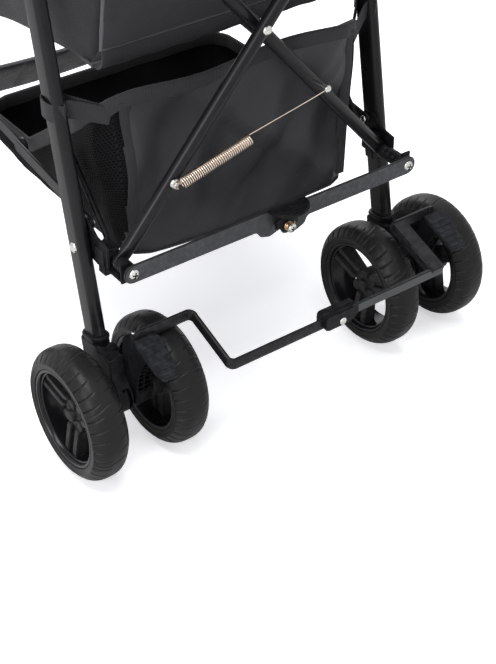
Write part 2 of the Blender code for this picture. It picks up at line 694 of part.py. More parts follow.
def tension_spring():
    """From a rivet on the left crossed tube to a pin on the right one."""
    low = Vector((-PIVOT_X, CROSS_REAR_Y, PIVOT_Z))
    rise = Vector((math.sin(CROSS_HALF_ANGLE), 0, math.cos(CROSS_HALF_ANGLE)))
    y = CROSS_REAR_Y - CROSS_R - 0.0068
    start = low + rise * 0.1010
    start.y = y
    end = Vector((PIVOT_X, y, PIVOT_Z)) + Vector((-rise.x, 0, rise.z)) * 0.1680
    along = (end - start).normalized()
    coil_start, coil_end = start + along * 0.0100, start + along * 0.0950
    turns, points, radius, wire = 22, 8, 0.0046, 0.0007
    side = along.cross(Vector((0, 1, 0))).normalized()
    other = along.cross(side)
    path = [start - along * 0.0010, start + along * 0.0040]
    for i in range(turns * points + 1):
        a = 2 * math.pi * i / points
        out = (side * math.cos(a) + other * math.sin(a)) * radius
        path.append(coil_start + (coil_end - coil_start) * (i / (turns * points)) + out)
    helix = path[2:]
    nearest = min((p - q).length for k, p in enumerate(helix) for q in helix[k + points - 1 :])
    print(f"tension_spring: {turns} curls, least gap {(nearest - 2 * wire) * 1000:.2f} mm")
    path += [coil_end + along * 0.0060, end - along * 0.0042]
    node("tension_spring", swept("tension_spring", path, radius=wire, fine=1), COPPER, tuple(start))


tension_spring()


# Side stays, folding at a middle joint
def side_stay(label, side):
    rear, front = Vector(STAY_REAR), Vector(STAY_FRONT)
    middle = (rear + front) / 2
    x = side * STAY_X
    rear_bar = side_plate("stay", slot_outline(rear, middle, 0.0075), x, STAY_T, [(*rear, 0.0029)])
    combine(f"side_stay_rear_{label}", [rear_bar], BLACK_TUBE, (x, *rear))
    inner_x = x - side * (STAY_T + 0.0008)
    front_bar = side_plate("stay", slot_outline(middle, front, 0.0075), inner_x, STAY_T, [(*front,
        0.0029)])
    joint = rod("joint", (inner_x, *middle), (inner_x - side * 0.0040, *middle), 0.0085)
    combine(f"side_stay_front_{label}", [front_bar, joint], BLACK_TUBE, (inner_x, *front))


def stay_lug(label, side):
    """A collar on the push tube with the pin that carries the front stay."""
    x = side * SIDE_X
    near = push_y(STAY_FRONT[1])
    place = Vector((x, near, STAY_FRONT[1]))
    turn = Matrix.Translation(place) @ Matrix.Rotation(PUSH_ANGLE, 4, "X")
    sleeve = block("collar", (-0.0120, -0.0200, -0.0130), (0.0120, 0.0200, 0.0130), 0.002, turn)
    grown = [(p[0] * 1.06, p[1] * 1.04) for p in oval_outline()]
    hollow = flat_curve("hollow", grown, thickness=0.06)
    hollow.matrix_basis = turn
    ear_x = sorted((x - side * 0.0115, x - side * 0.0085))
    ear = block("ear", (ear_x[0], STAY_FRONT[0] - 0.009, STAY_FRONT[1] - 0.008), (ear_x[1], near,
        STAY_FRONT[1] + 0.008))
    inner_x = side * (STAY_X - STAY_T - 0.0008)
    pin = rod("pin", (x - side * 0.0100, *STAY_FRONT), (inner_x - side * 0.0030, *STAY_FRONT), 0.0025,
        steps=12)
    head = rod("head", (inner_x - side * 0.0022, *STAY_FRONT), (inner_x - side * 0.0042, *STAY_FRONT),
        0.0050, 0.0035)
    combine(f"stay_collar_{label}", [sleeve, ear, pin, head], PLASTIC, (x, *STAY_FRONT),
        [evaluated_copy(hollow)])


for label, side in (("left", -1), ("right", 1)):
    side_stay(label, side)
    stay_lug(label, side)


# Brake: two alike pedals on the axles, and a bent bar and a wide arm that meet at a knuckle
def brake_pedal(label, x):
    low, high = x - 0.00975, x + 0.00975
    boss = rod("boss", (low, 0, WHEEL_R), (high, 0, WHEEL_R), 0.0195)
    front, back = BRAKE_FRONT_Y + BAR_T / 2 + GAP, BRAKE_FRONT_Y - BAR_T / 2 - GAP
    under = BRAKE_FRONT_Z - BAR_H / 2 - 0.0010
    arm_shape = [(-0.0190, 0.0770), (0.0090, 0.0900), (0.0030, 0.1560), (-0.0060, 0.1720), (front,
        0.1720)]
    arm_shape += [(front, under), (back - 0.0036, under), (back - 0.0036, 0.1585), (-0.0400, 0.1545),
        (-0.0260, 0.1200)]
    arm = side_plate("arm", arm_shape, x, high - low)
    pad = block("pad", (-0.0150, -0.0245, -0.0025), (0.0150, 0.0245, 0.0025), 0.001)
    pad.data.transform(Matrix.Translation((x + 0.0030, -0.0505,
        0.1505)) @ Matrix.Rotation(math.radians(22), 4, "X"))
    pin = rod("pin", (x, front + 0.006, BRAKE_FRONT_Z), (x, back - 0.0012, BRAKE_FRONT_Z), 0.0030,
        steps=12)
    head = rod("head", (x, back, BRAKE_FRONT_Z), (x, back - 0.0022, BRAKE_FRONT_Z), 0.0048, 0.0036)
    bore = rod("bore", (x - 0.05, 0, WHEEL_R), (x + 0.05, 0, WHEEL_R), AXLE_R + GAP, steps=12)
    combine("brake_pedal_" + label, [boss, arm, pad, pin, head], PLASTIC, (x, 0, WHEEL_R), [bore])


PEDAL_LEFT_X = -SIDE_X + PEDAL_X
PEDAL_RIGHT_X = SIDE_X + PEDAL_X
brake_pedal("left", PEDAL_LEFT_X)
brake_pedal("right", PEDAL_RIGHT_X)


def brake_bar():
    half_t, half_h = BAR_T / 2 - GAP, BAR_H / 2 - GAP
    profile = [(-half_t, -half_h), (half_t, -half_h), (half_t, half_h), (-half_t, half_h)]
    start_x = PEDAL_LEFT_X + 0.0150
    path = [
        (start_x, BRAKE_FRONT_Y, BRAKE_FRONT_Z),
        (BRAKE_CORNER_X - 0.0020, BRAKE_FRONT_Y, BRAKE_FRONT_Z),
        (BRAKE_CORNER_X + 0.0030, BRAKE_REAR_Y, BRAKE_REAR_Z),
        (KNUCKLE_X, BRAKE_REAR_Y, BRAKE_REAR_Z),
    ]
    bent = swept("bent", rounded(path, 0.007, 4), profile)
    near_end = slot_outline((PEDAL_LEFT_X, BRAKE_FRONT_Z), (start_x + 0.004, BRAKE_FRONT_Z), BAR_H / 2)
    eye = rear_plate("eye", near_end, BRAKE_FRONT_Y, BAR_T, [(PEDAL_LEFT_X, BRAKE_FRONT_Z, 0.0034)])
    low = (KNUCKLE_LEFT_X, BRAKE_REAR_Y - BAR_T / 2, KNUCKLE_LOW_Z)
    nose = block("nose", low, (KNUCKLE_RIGHT_X, -0.0755, KNUCKLE_HIGH_Z), 0.001)
    combine("brake_bar", [bent, eye, nose], GREY_BAR, (PEDAL_LEFT_X, BRAKE_FRONT_Y, BRAKE_FRONT_Z))


def brake_arm():
    """A flat rear run behind the bar's layer, a wide side run and a flat front run."""
    back_y, right_x, middle_z = -0.0935, 0.1850, 0.1362
    front_y = BRAKE_REAR_Y - BAR_T / 2 - 0.0006
    rear_run = block("rear_run", (KNUCKLE_RIGHT_X - 0.01, back_y, middle_z - 0.0065), (right_x, front_y,
        middle_z + 0.0063))
    low = (KNUCKLE_LEFT_X, back_y - 0.0004, KNUCKLE_LOW_Z)
    cheek = block("cheek", low, (KNUCKLE_RIGHT_X, front_y, KNUCKLE_HIGH_Z))
    slope = math.atan2(BRAKE_FRONT_Z - middle_z, BRAKE_FRONT_Y - back_y)
    length = (BRAKE_FRONT_Y - back_y) / math.cos(slope) + 0.010
    side_run = block("side_run", (right_x - 0.0200, -0.010, -0.0060), (right_x - 0.0002, length, 0.0060))
    side_run.data.transform(Matrix.Translation((0, back_y, middle_z)) @ Matrix.Rotation(slope, 4, "X"))
    keep = block("keep", (0.05, back_y + 0.0002, 0.08), (0.30, BRAKE_FRONT_Y + BAR_T / 2 - 0.0002, 0.25))
    trim = side_run.modifiers.new("Trim", "BOOLEAN")
    trim.operation = "INTERSECT"
    trim.object = keep
    side_run = evaluated_copy(side_run)
    bpy.data.objects.remove(keep, do_unlink=True)
    end = slot_outline((right_x - 0.0130, BRAKE_FRONT_Z), (PEDAL_RIGHT_X, BRAKE_FRONT_Z), BAR_H / 2)
    front_run = rear_plate("front_run", end, BRAKE_FRONT_Y, BAR_T, [(PEDAL_RIGHT_X, BRAKE_FRONT_Z,
        0.0034)])
    x, z = KNUCKLE_X, BRAKE_REAR_Z - 0.0020
    head = rod("head", (x, back_y + 0.0005, z), (x, back_y - 0.0026, z), 0.0055, 0.0042)
    pieces = [rear_run, cheek, side_run, front_run, head]
    combine("brake_arm", pieces, PLASTIC, (PEDAL_RIGHT_X, BRAKE_FRONT_Y, BRAKE_FRONT_Z))


brake_bar()
brake_arm()


# Soft parts
def smooth_sheet(name, place, across, along, thickness, paint, level=1, pivot=(0, 0, 0)):
    """A grid laid on place(u, v), u and v from -1 to 1, thickened and rounded."""
    bm = bmesh.new()
    bmesh.ops.create_grid(bm, x_segments=across, y_segments=along, size=1)
    for vert in bm.verts:
        vert.co = place(vert.co.x, vert.co.y)
    obj = from_bmesh(name, bm)
    wall = obj.modifiers.new("Wall", "SOLIDIFY")
    wall.thickness = thickness
    wall.offset = 0
    wall.use_even_offset = True
    if level:
        soft = obj.modifiers.new("Soft", "SUBSURF")
        soft.levels = soft.render_levels = level
    return node(name, evaluated_copy(obj), paint, pivot)


def along_line(points, share):
    """The point at a share of a broken line's length, and its direction."""
    lengths = [(b - a).length for a, b in zip(points, points[1:])]
    rest = share * sum(lengths)
    for (a, b), length in zip(zip(points, points[1:]), lengths):
        if rest <= length or (a, b) == (points[-2], points[-1]):
            return a.lerp(b, min(rest / length, 1.0)), (b - a).normalized()
        rest -= length


SEAT_HALF = 0.1550
SEAT_LINE = [Vector((0, y, z)) for y, z in ((0.3150, 0.4100), (0.3020, 0.4300), (0.2000, 0.4270),
    (0.1050, 0.4180))]
BACK_LINE = [Vector((0, y, z)) for y, z in ((0.0830, 0.4420), (0.0700, 0.5400), (0.0560, 0.6500),
    (-0.0060, 0.7600), (-0.0800, 0.8900))]


def cushion_place(line, channels, pull):
    def place(u, v):
        point, way = along_line(line, (v + 1) / 2)
        up = Vector((0, -way.z, way.y)) if line is SEAT_LINE else Vector((0, -way.z, way.y)) * -1
        crown = 0.0060 * (1 - u * u) * (1 - v * v)
        dent = sum(0.0045 * math.exp(-(((v - c) / 0.07) ** 2)) for c in channels)
        half = SEAT_HALF * (1 - pull * (1 - v * v))
        return Vector((half * u, point.y, point.z)) - up * (crown - dent)

    return place


smooth_sheet("seat_cushion", cushion_place(SEAT_LINE, (0.0,), 0.035), 6, 7, 0.024, FABRIC)
smooth_sheet("backrest_cushion", cushion_place(BACK_LINE, (-0.4, 0.15), 0.045), 6, 10, 0.022, FABRIC)

BASKET_HALF = 0.1680
BASKET_REAR_Y = 0.0480
BASKET_FRONT_Y = 0.3350


def basket():
    """An open tub of cloth: a tall rear panel with soft folds, mesh sides and a lower front."""
    bm = bmesh.new()
    rings = []
    across, deep = 8, 7
    for level in range(6):
        t = level / 5
        ring = []
        swell = 1 - 0.10 * (1 - t) ** 2
        corners = [(-1, 0), (1, 0), (1, 1), (-1, 1)]
        for (u0, v0), (u1, v1), count in zip(corners, corners[1:] + corners[:1], (across, deep, across,
            deep)):
            for i in range(count):
                u = u0 + (u1 - u0) * i / count
                v = v0 + (v1 - v0) * i / count
                rear, front = v < 0.01, v > 0.99
                top = 0.4000 - 0.1250 * min(v * 1.6, 1) + (0.004 * math.sin(5 * u) if rear else 0)
                x = u * BASKET_HALF * swell
                y = BASKET_REAR_Y + (BASKET_FRONT_Y - BASKET_REAR_Y) * (0.5 + (v - 0.5) * swell)
                y += (0.0030 * math.sin(9 * u + 2 * t) * t if rear else 0)
                z = 0.2060 + 0.006 * v + (top - 0.2060) * t
                ring.append(bm.verts.new((x, y, z)))
        rings.append(ring)
    bm.faces.new(rings[0])
    for low, high in zip(rings, rings[1:]):
        for i in range(len(low)):
            j = (i + 1) % len(low)
            bm.faces.new((low[i], low[j], high[j], high[i]))
    bmesh.ops.recalc_face_normals(bm, faces=bm.faces)
    obj = from_bmesh("basket", bm)
    wall = obj.modifiers.new("Wall", "SOLIDIFY")
    wall.thickness = 0.0025
    wall.offset = 0
    node("basket", evaluated_copy(obj), MESH_CLOTH)


basket()

CANOPY_PIVOT = (-0.0900, 0.8400)


def canopy_place(u, v):
    """v runs from the rear hem to the front bow, u from the left tube to the right one."""
    sweep = math.radians(60 - 105 * (v + 1) / 2)
    reach = 0.2050 + 0.012 * math.cos(v * math.pi / 2)
    arch = math.cos(u * math.pi / 2) ** 0.65
    x = 0.1840 * math.sin(u * math.pi / 2)
    y = CANOPY_PIVOT[0] + reach * arch * math.sin(-sweep) + 0.02
    z = CANOPY_PIVOT[1] + reach * arch * math.cos(sweep) * 0.80 - 0.028
    return Vector((x, y, z))


smooth_sheet("canopy", canopy_place, 8, 5, 0.0030, FABRIC)


def canopy_bow():
    path = []
    for i in range(17):
        u = -1 + 2 * i / 16
        point = canopy_place(u, 1.0)
        push = Vector((0, 0.0065, 0.0010))
        path.append(point + push)
    node("canopy_bow", swept("bow", path, radius=0.0032), PLASTIC, tuple(path[0]))


canopy_bow()


def footrest_place(u, v):
    z = 0.2450 + 0.0330 * v
    sag = 0.0120 * (1 - u * u)
    return Vector((0.1930 * u, push_y(z) + 0.002 - sag, z - sag * 0.5))


smooth_sheet("calf_rest", footrest_place, 8, 3, 0.0060, FABRIC, level=1)


def harness():
    """Two shoulder straps, two waist straps, a crotch strap and a buckle, lying just off the cushions."""
    pieces = []
    proud = 0.0240
    for side in (-1, 1):
        points = []
        for share in (0.22, 0.36, 0.50, 0.64, 0.78):
            point, way = along_line(BACK_LINE, share)
            out = Vector((0, way.z, -way.y))
            points.append(Vector((side * (0.030 + 0.050 * share), point.y, point.z)) + out * proud)
        points.insert(0, Vector((side * 0.0110, 0.1680, 0.4640)))
        pieces.append(swept("strap", points, [(-0.0120, -0.0010), (0.0120, -0.0010), (0.0120, 0.0010),
            (-0.0120, 0.0010)]))
        waist = [(side * 0.1300, 0.1180, 0.4820), (side * 0.0850, 0.1420, 0.4740), (side * 0.0150,
            0.1720, 0.4640)]
        pieces.append(swept("strap", waist, [(-0.0010, -0.0120), (0.0010, -0.0120), (0.0010, 0.0120),
            (-0.0010, 0.0120)]))
    crotch = [(0, 0.2250, 0.4530), (0, 0.1760, 0.4620)]
    pieces.append(swept("strap", crotch, [(-0.0120, -0.0010), (0.0120, -0.0010), (0.0120, 0.0010),
        (-0.0120, 0.0010)]))
    pieces.append(block("buckle", (-0.0240, 0.1600, 0.4560), (0.0240, 0.1900, 0.4720), 0.003))
    combine("harness", [pieces[-1]] + pieces[:-1], WEBBING)


harness()
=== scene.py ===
"""Looks of an umbrella-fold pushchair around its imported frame: finishes, wheels, fittings and soft goods.

Lengths are in metres, and in millimetres inside mm(). Every place is laid out from the rear axle, on the
floor, midway between the wheels, with +Y towards the front wheels and +X to the right as seen from behind.
Then place_piece() moves the shape to where the frame has that axle.
"""

import json
import math

import bmesh
import bpy
import numpy as np
from mathutils import Matrix, Vector, noise
from mathutils.bvhtree import BVHTree

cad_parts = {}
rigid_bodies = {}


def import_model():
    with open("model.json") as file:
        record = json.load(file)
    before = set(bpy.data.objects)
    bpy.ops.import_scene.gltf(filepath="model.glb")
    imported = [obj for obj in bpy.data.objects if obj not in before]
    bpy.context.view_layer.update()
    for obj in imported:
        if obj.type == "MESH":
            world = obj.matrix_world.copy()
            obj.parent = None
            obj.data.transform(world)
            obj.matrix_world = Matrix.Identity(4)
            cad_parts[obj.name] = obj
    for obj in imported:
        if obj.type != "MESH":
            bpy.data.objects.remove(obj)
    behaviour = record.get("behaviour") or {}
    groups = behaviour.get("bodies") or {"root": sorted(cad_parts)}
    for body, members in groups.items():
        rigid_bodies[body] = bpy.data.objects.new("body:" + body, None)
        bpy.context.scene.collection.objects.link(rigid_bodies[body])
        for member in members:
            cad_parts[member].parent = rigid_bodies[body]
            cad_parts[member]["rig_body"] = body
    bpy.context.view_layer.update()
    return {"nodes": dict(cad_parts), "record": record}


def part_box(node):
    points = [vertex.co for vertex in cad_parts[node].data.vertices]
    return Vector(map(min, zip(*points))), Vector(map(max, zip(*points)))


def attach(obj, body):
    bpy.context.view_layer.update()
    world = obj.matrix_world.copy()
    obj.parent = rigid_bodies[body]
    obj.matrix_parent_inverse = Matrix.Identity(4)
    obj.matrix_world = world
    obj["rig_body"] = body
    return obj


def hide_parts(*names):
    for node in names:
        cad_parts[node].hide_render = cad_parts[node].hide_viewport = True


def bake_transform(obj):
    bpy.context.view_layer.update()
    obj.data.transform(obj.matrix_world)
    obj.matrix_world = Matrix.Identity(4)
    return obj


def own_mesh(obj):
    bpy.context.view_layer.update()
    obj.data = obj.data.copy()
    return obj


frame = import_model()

BODY_OF = {node: body for body, nodes in frame["record"]["behaviour"]["bodies"].items() for node in nodes}
SIDES = (("left", -1), ("right", 1))
X, Y, Z = Vector((1, 0, 0)), Vector((0, 1, 0)), Vector((0, 0, 1))


def centre_of(node):
    low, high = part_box(node)
    return (low + high) / 2


AXLE_Y = centre_of("rear_axle_left").y

# Sizes shared with the frame
WHEEL_R = 0.0775
TYRE_W = 0.0443
TYRE_DROP = 0.0118
TYRE_BORE_R = 0.0581
RIM_R = 0.0578
SPOKE_APART = 0.0078
HUB_R = 0.0185
SIDE_X = 0.2060
OVAL_W = 0.0155
OVAL_D = 0.0300
LEG_FOOT = (0.0421, 0.1360)
LEG_LEAN = 0.1835
HINGE_Z = 0.5560
PUSH_OFFSET = 0.0440
PUSH_SLOPE = 0.90
PUSH_FOOT_Z = 0.1950
PUSH_BEND_Z = 0.7900
PUSH_TOP_LEAN = math.radians(25)
GRIP_Z = 1.0070
GRIP_END_Y = -0.2775
GRIP_R = 0.0165
PIVOT_X = 0.1870
PIVOT_Z = 0.2380
CROSS_ANGLE = math.radians(41.3)
CROSS_REAR_Y = 0.0135
CROSS_FRONT_Y = 0.0300
CROSS_R = 0.0075
BRACKET_Y = 0.0615
BRACKET_Z = 0.2415
BRACE_H = 0.0225
BRACE_T = 0.0030
BRACE_Y = -0.0130
BRACE_REAR_Y = BRACE_Y - BRACE_T - 0.0007
LEVER_X = 0.0080
BAR_H = 0.0130
BAR_T = 0.0045
BRAKE_FRONT = (-0.0200, 0.1630)
BRAKE_REAR = (-0.0856, 0.1295)
BRAKE_CORNER_X = -0.1190
KNUCKLE_X = 0.0336
KNUCKLE_ENDS = (0.0080, 0.0565)
PEDAL_X = 0.0188
SWIVEL_Y = 0.5050
TRAIL = 0.0300
FRONT_APART = 0.0360
STAY_X = 0.1900
STAY_REAR = (0.0640, 0.2625)
STAY_FRONT = (0.3620, 0.3090)
STAY_T = 0.0030
SPRING_RIVET_AT = 0.1010
SPRING_PIN_AT = 0.1680
CROSS_FLAT = (0.0078, 0.0025)

LEAN_ANGLE = math.atan(LEG_LEAN)
PUSH_ANGLE = math.atan(PUSH_SLOPE)
HINGE_Y = LEG_FOOT[0] + LEG_LEAN * (HINGE_Z - LEG_FOOT[1])
PUSH_UP = Vector((0, -math.sin(PUSH_ANGLE), math.cos(PUSH_ANGLE)))
PUSH_OUT = Vector((0, math.cos(PUSH_ANGLE), math.sin(PUSH_ANGLE)))
LEG_WAY = Vector((0, math.sin(LEAN_ANGLE), math.cos(LEAN_ANGLE)))
PUSH_POINT = Vector((0, HINGE_Y, HINGE_Z)) + PUSH_OUT * PUSH_OFFSET
CROSS_HALF = PIVOT_X / math.sin(CROSS_ANGLE)
CROSS_WAY = (math.sin(CROSS_ANGLE), math.cos(CROSS_ANGLE))
CROSS_TOP_Z = PIVOT_Z + 2 * CROSS_HALF * math.cos(CROSS_ANGLE)
CASTOR_Y = SWIVEL_Y - TRAIL


def push_y(z):
    """How far forward the push tube is at a height."""
    return PUSH_POINT.y - PUSH_SLOPE * (z - PUSH_POINT.z)


def cross_point(side, y, at):
    """A point of the crossed tube that starts on one side, at a length from its lower pivot."""
    return Vector((side * PIVOT_X, y, PIVOT_Z)) + Vector((-side * CROSS_WAY[0], 0, CROSS_WAY[1])) * at


# Node helpers for the materials
class Graph:
    """A material under construction, with short calls for the nodes it needs."""

    def __init__(self, name):
        self.made = bpy.data.materials.new(name)
        self.made.use_nodes = True
        self.tree = self.made.node_tree
        self.shader = self.tree.nodes["Principled BSDF"]
        self.place = self.tree.nodes.new("ShaderNodeTexCoord")

    def add(self, kind, settings=(), **inputs):
        node = self.tree.nodes.new("ShaderNode" + kind)
        for key, value in dict(settings).items():
            setattr(node, key, value)
        for key, value in inputs.items():
            socket = node.inputs[int(key[1:])] if key[1:].isdigit() else node.inputs[key.replace("_", " ")]
            self.feed(value, socket)
        return node

    def feed(self, value, socket):
        if isinstance(value, bpy.types.NodeSocket):
            self.tree.links.new(value, socket)
        else:
            socket.default_value = value

    def math(self, operation, first, second=0.0):
        return self.add("Math", {"operation": operation}, i0=first, i1=second).outputs[0]

    def vector(self, operation, first, second=(0, 0, 0)):
        node = self.add("VectorMath", {"operation": operation}, i0=first, i1=second)
        return node.outputs["Value"] if operation == "DOT_PRODUCT" else node.outputs[0]

    def noise(self, scale, detail=3.0, stretch=None):
        where = self.place.outputs["Object"]
        if stretch:
            where = self.vector("MULTIPLY", where, stretch)
        return self.add("TexNoise", Vector=where, Scale=scale, Detail=detail).outputs["Fac"]

    def spread(self, value, low, high, to_low, to_high):
        return self.add("MapRange", i0=value, i1=low, i2=high, i3=to_low, i4=to_high).outputs[0]

    def blend(self, share, first, second):
        node = self.add("Mix", {"data_type": "RGBA"})
        self.feed(share, node.inputs[0])
        self.feed(first, node.inputs[6])
        self.feed(second, node.inputs[7])
        return node.outputs[2]

    def bump(self, height, distance, under=None):
        node = self.add("Bump", Height=height, Distance=distance)
        if under:
            self.tree.links.new(under, node.inputs["Normal"])
        return node.outputs["Normal"]


def shade(colour, factor):
    return (*[min(1.0, c * factor) for c in colour], 1)


def finish(name, colour, rough, metallic=0.0, specular=0.5, blotch=0.2, grain=500.0, grain_depth=0.00004,
           wear=0.0, streak=None, coat=0.0, sheen=0.0):
    """A solid surface: cloudy colour, uneven gloss, fine grain, and lighter worn edges."""
    g = Graph(name)
    cloud = g.spread(g.noise(14.0, 5.0), 0.3, 0.7, 0.0, 1.0)
    colours = g.blend(cloud, shade(colour, 1 - blotch), shade(colour, 1 + blotch))
    if wear:
        point = g.add("NewGeometry").outputs["Pointiness"]
        edge = g.spread(point, 0.51, 0.58, 0.0, wear)
        broken = g.math("MULTIPLY", edge, g.spread(g.noise(160.0, 4.0), 0.40, 0.62, 0.0, 1.0))
        colours = g.blend(broken, colours, shade(colour, 5.0 if max(colour) < 0.1 else 0.7))
    g.feed(colours, g.shader.inputs["Base Color"])
    gloss = g.noise(38.0, 4.0, streak)
    g.feed(g.spread(gloss, 0.25, 0.75, rough * 0.80, rough * 1.20), g.shader.inputs["Roughness"])
    normal = g.bump(g.noise(grain, 3.0, streak), grain_depth)
    g.feed(normal, g.shader.inputs["Normal"])
    g.shader.inputs["Metallic"].default_value = metallic
    g.shader.inputs["Specular IOR Level"].default_value = specular
    g.shader.inputs["Coat Weight"].default_value = coat
    g.shader.inputs["Sheen Weight"].default_value = sheen
    return g.made


def woven(name, colour, pitch, depth, rough=0.75, specular=0.25, blotch=0.18, sheen=0.10, twill=0.0,
          crease=0.0):
    """Woven cloth: threads that cross in all three planes, over soft large clouds of tone: wear at the usual
    blotch, and painted light and shade of folds at a strong one.
    """
    g = Graph(name)
    turns = 2 * math.pi / pitch
    where = g.place.outputs["Object"]
    if twill:
        rise = g.add("SeparateXYZ", i0=where).outputs[2]
        where = g.vector("ADD", where, g.vector("MULTIPLY", rise, (twill,) * 3))
    waves = g.add("SeparateXYZ", i0=g.vector("SINE", g.vector("MULTIPLY", where, (turns,) * 3)))
    over = g.math("MULTIPLY", waves.outputs[0], waves.outputs[2])
    under = g.math("MULTIPLY", waves.outputs[1], waves.outputs[2])
    flat = g.math("MULTIPLY", waves.outputs[0], waves.outputs[1])
    thread = g.math("ADD", g.math("ADD", over, under), flat)
    # Large clouds of tone; where blotch is strong, as in NYLON, they are painted light and shade of folds.
    cloud = g.spread(g.noise(9.0, 6.0), 0.3, 0.7, 0.0, 1.0)
    colours = g.blend(cloud, shade(colour, 1 - blotch), shade(colour, 1 + blotch))
    tone = g.spread(thread, -1.5, 1.5, 0.0, 0.55)
    g.feed(g.blend(tone, colours, shade(colour, 1.9)), g.shader.inputs["Base Color"])
    g.feed(g.spread(g.noise(60.0), 0.3, 0.7, rough * 0.88, rough * 1.1), g.shader.inputs["Roughness"])
    slub = g.bump(g.noise(55.0, 4.0), 0.0004)
    if crease:
        slub = g.bump(g.noise(11.0, 2.0, (1.0, 1.0, 0.55)), crease, slub)
    g.feed(g.bump(thread, depth, slub), g.shader.inputs["Normal"])
    g.shader.inputs["Specular IOR Level"].default_value = specular
    g.shader.inputs["Sheen Weight"].default_value = sheen
    g.shader.inputs["Sheen Roughness"].default_value = 0.5
    return g.made


def honeycomb(name, colour, cell):
    """Spacer mesh: six-sided dark holes between lighter threads, laid on the sheet's own flat measure."""
    g = Graph(name)
    step = (1.0, math.sqrt(3), 1.0)
    half = (0.5, math.sqrt(3) / 2, 0.0)
    where = g.vector("MULTIPLY", g.place.outputs["UV"], (1 / cell, 1 / cell, 0))
    one = g.vector("SUBTRACT", g.vector("MODULO", where, step), half)
    two = g.vector("SUBTRACT", g.vector("MODULO", g.vector("SUBTRACT", where, half), step), half)
    nearer = g.math("LESS_THAN", g.vector("DOT_PRODUCT", one, one), g.vector("DOT_PRODUCT", two, two))
    pick = g.add("Mix", {"data_type": "VECTOR"})
    g.feed(nearer, pick.inputs[0])
    g.feed(two, pick.inputs[4])
    g.feed(one, pick.inputs[5])
    flat = g.vector("ABSOLUTE", pick.outputs[1])
    slant = g.vector("DOT_PRODUCT", flat, (0.5, math.sqrt(3) / 2, 0))
    reach = g.math("MAXIMUM", slant, g.add("SeparateXYZ", i0=flat).outputs[0])
    thread = g.spread(reach, 0.30, 0.42, 0.0, 1.0)
    g.feed(g.blend(thread, shade(colour, 0.25), shade(colour, 1.5)), g.shader.inputs["Base Color"])
    g.feed(g.bump(thread, 0.0007, g.bump(g.noise(300.0), 0.0001)), g.shader.inputs["Normal"])
    g.feed(g.spread(thread, 0.0, 1.0, 0.95, 0.6), g.shader.inputs["Roughness"])
    g.shader.inputs["Specular IOR Level"].default_value = 0.12
    return g.made


PAINT = {
    "black_tube": finish("black_tube", (0.0095, 0.0095, 0.0105), 0.31, specular=0.20, blotch=0.12,
                         grain=900.0, grain_depth=0.00003, wear=0.4, streak=(1, 1, 0.15), coat=0.04),
    "grey_bar": finish("grey_bar", (0.040, 0.042, 0.046), 0.48, specular=0.35, blotch=0.035, grain=1100.0,
                       grain_depth=0.00003, wear=0.35),
    "black_plastic": finish("black_plastic", (0.0062, 0.0062, 0.0070), 0.40, specular=0.13, blotch=0.18,
                            grain=1400.0, grain_depth=0.00005, wear=0.4),
    "tyre": finish("tyre_foam", (0.0110, 0.0110, 0.0105), 0.38, specular=0.18, blotch=0.20, grain=850.0,
                   grain_depth=0.00006, wear=0.35),
    "gloss_rim": finish("gloss_rim", (0.0060, 0.0060, 0.0070), 0.24, specular=0.20, blotch=0.10, grain=260.0,
                        grain_depth=0.00002, coat=0.1),
    "zinc_steel": finish("zinc_steel", (0.66, 0.66, 0.63), 0.26, metallic=1.0, blotch=0.12, grain=700.0,
                         grain_depth=0.00003, wear=0.3),
    "spring_wire": finish("spring_wire", (0.62, 0.42, 0.24), 0.28, metallic=1.0, blotch=0.30, grain=600.0,
                          grain_depth=0.00002),
    "grip_foam": finish("grip_foam", (0.020, 0.020, 0.021), 0.85, specular=0.22, blotch=0.22, grain=420.0,
                        grain_depth=0.00035, sheen=0.1),
    "black_fabric": woven("black_fabric", (0.0165, 0.0160, 0.0185), 0.0011, 0.00010, rough=0.58,
                          specular=0.32, crease=0.0016),
    "mesh_cloth": honeycomb("mesh_cloth", (0.0040, 0.0040, 0.0048), 0.0042),
    "webbing": woven("webbing", (0.020, 0.020, 0.022), 0.0018, 0.00025, rough=0.62, twill=0.5),
}
GLOSS_BLACK = finish("gloss_black", (0.003, 0.003, 0.004), 0.12, specular=0.12, blotch=0.1, grain=200.0,
                     grain_depth=0.00001)
# Near-black for the crosses of screw heads: painted shade in their recesses.
RECESS_SHADE = finish("recess_painted_shade", (0.004, 0.004, 0.004), 0.70, specular=0.2, blotch=0.3)
PAD_BLACK = finish("pad_black", (0.0075, 0.0080, 0.0095), 0.55, specular=0.15, blotch=0.15, grain=1500.0,
                   grain_depth=0.00006, wear=0.5)
# A lighter grey for the face of the brake arm that faces the light: a painted highlight.
LIT_FACE = finish("painted_highlight_face", (0.066, 0.070, 0.074), 0.45, specular=0.35, blotch=0.10, grain=1100.0,
                  grain_depth=0.00003, streak=(0.1, 1, 1))
RIM_MATTE = finish("rim_matte", (0.0115, 0.0115, 0.0120), 0.50, specular=0.25, blotch=0.15, grain=900.0,
                   grain_depth=0.00005, wear=0.3)
PALE_WIRE = finish("pale_wire", (0.84, 0.70, 0.60), 0.18, metallic=1.0, blotch=0.22, grain=600.0,
                   grain_depth=0.00002)
# Strong clouds of colour on the basket's rear panel and floor: painted light and shade of folds.
NYLON = woven("nylon", (0.0125, 0.0122, 0.0150), 0.0006, 0.00004, rough=0.36, specular=0.46, blotch=0.55,
              sheen=0.0, crease=0.0060)
PIPING = woven("grey_piping", (0.085, 0.088, 0.095), 0.0012, 0.00012, rough=0.6)
THREAD = woven("grey_thread", (0.16, 0.165, 0.175), 0.0006, 0.00008, rough=0.55)
LINING = woven("grey_lining", (0.050, 0.052, 0.057), 0.0013, 0.00016, rough=0.8, sheen=0.2)


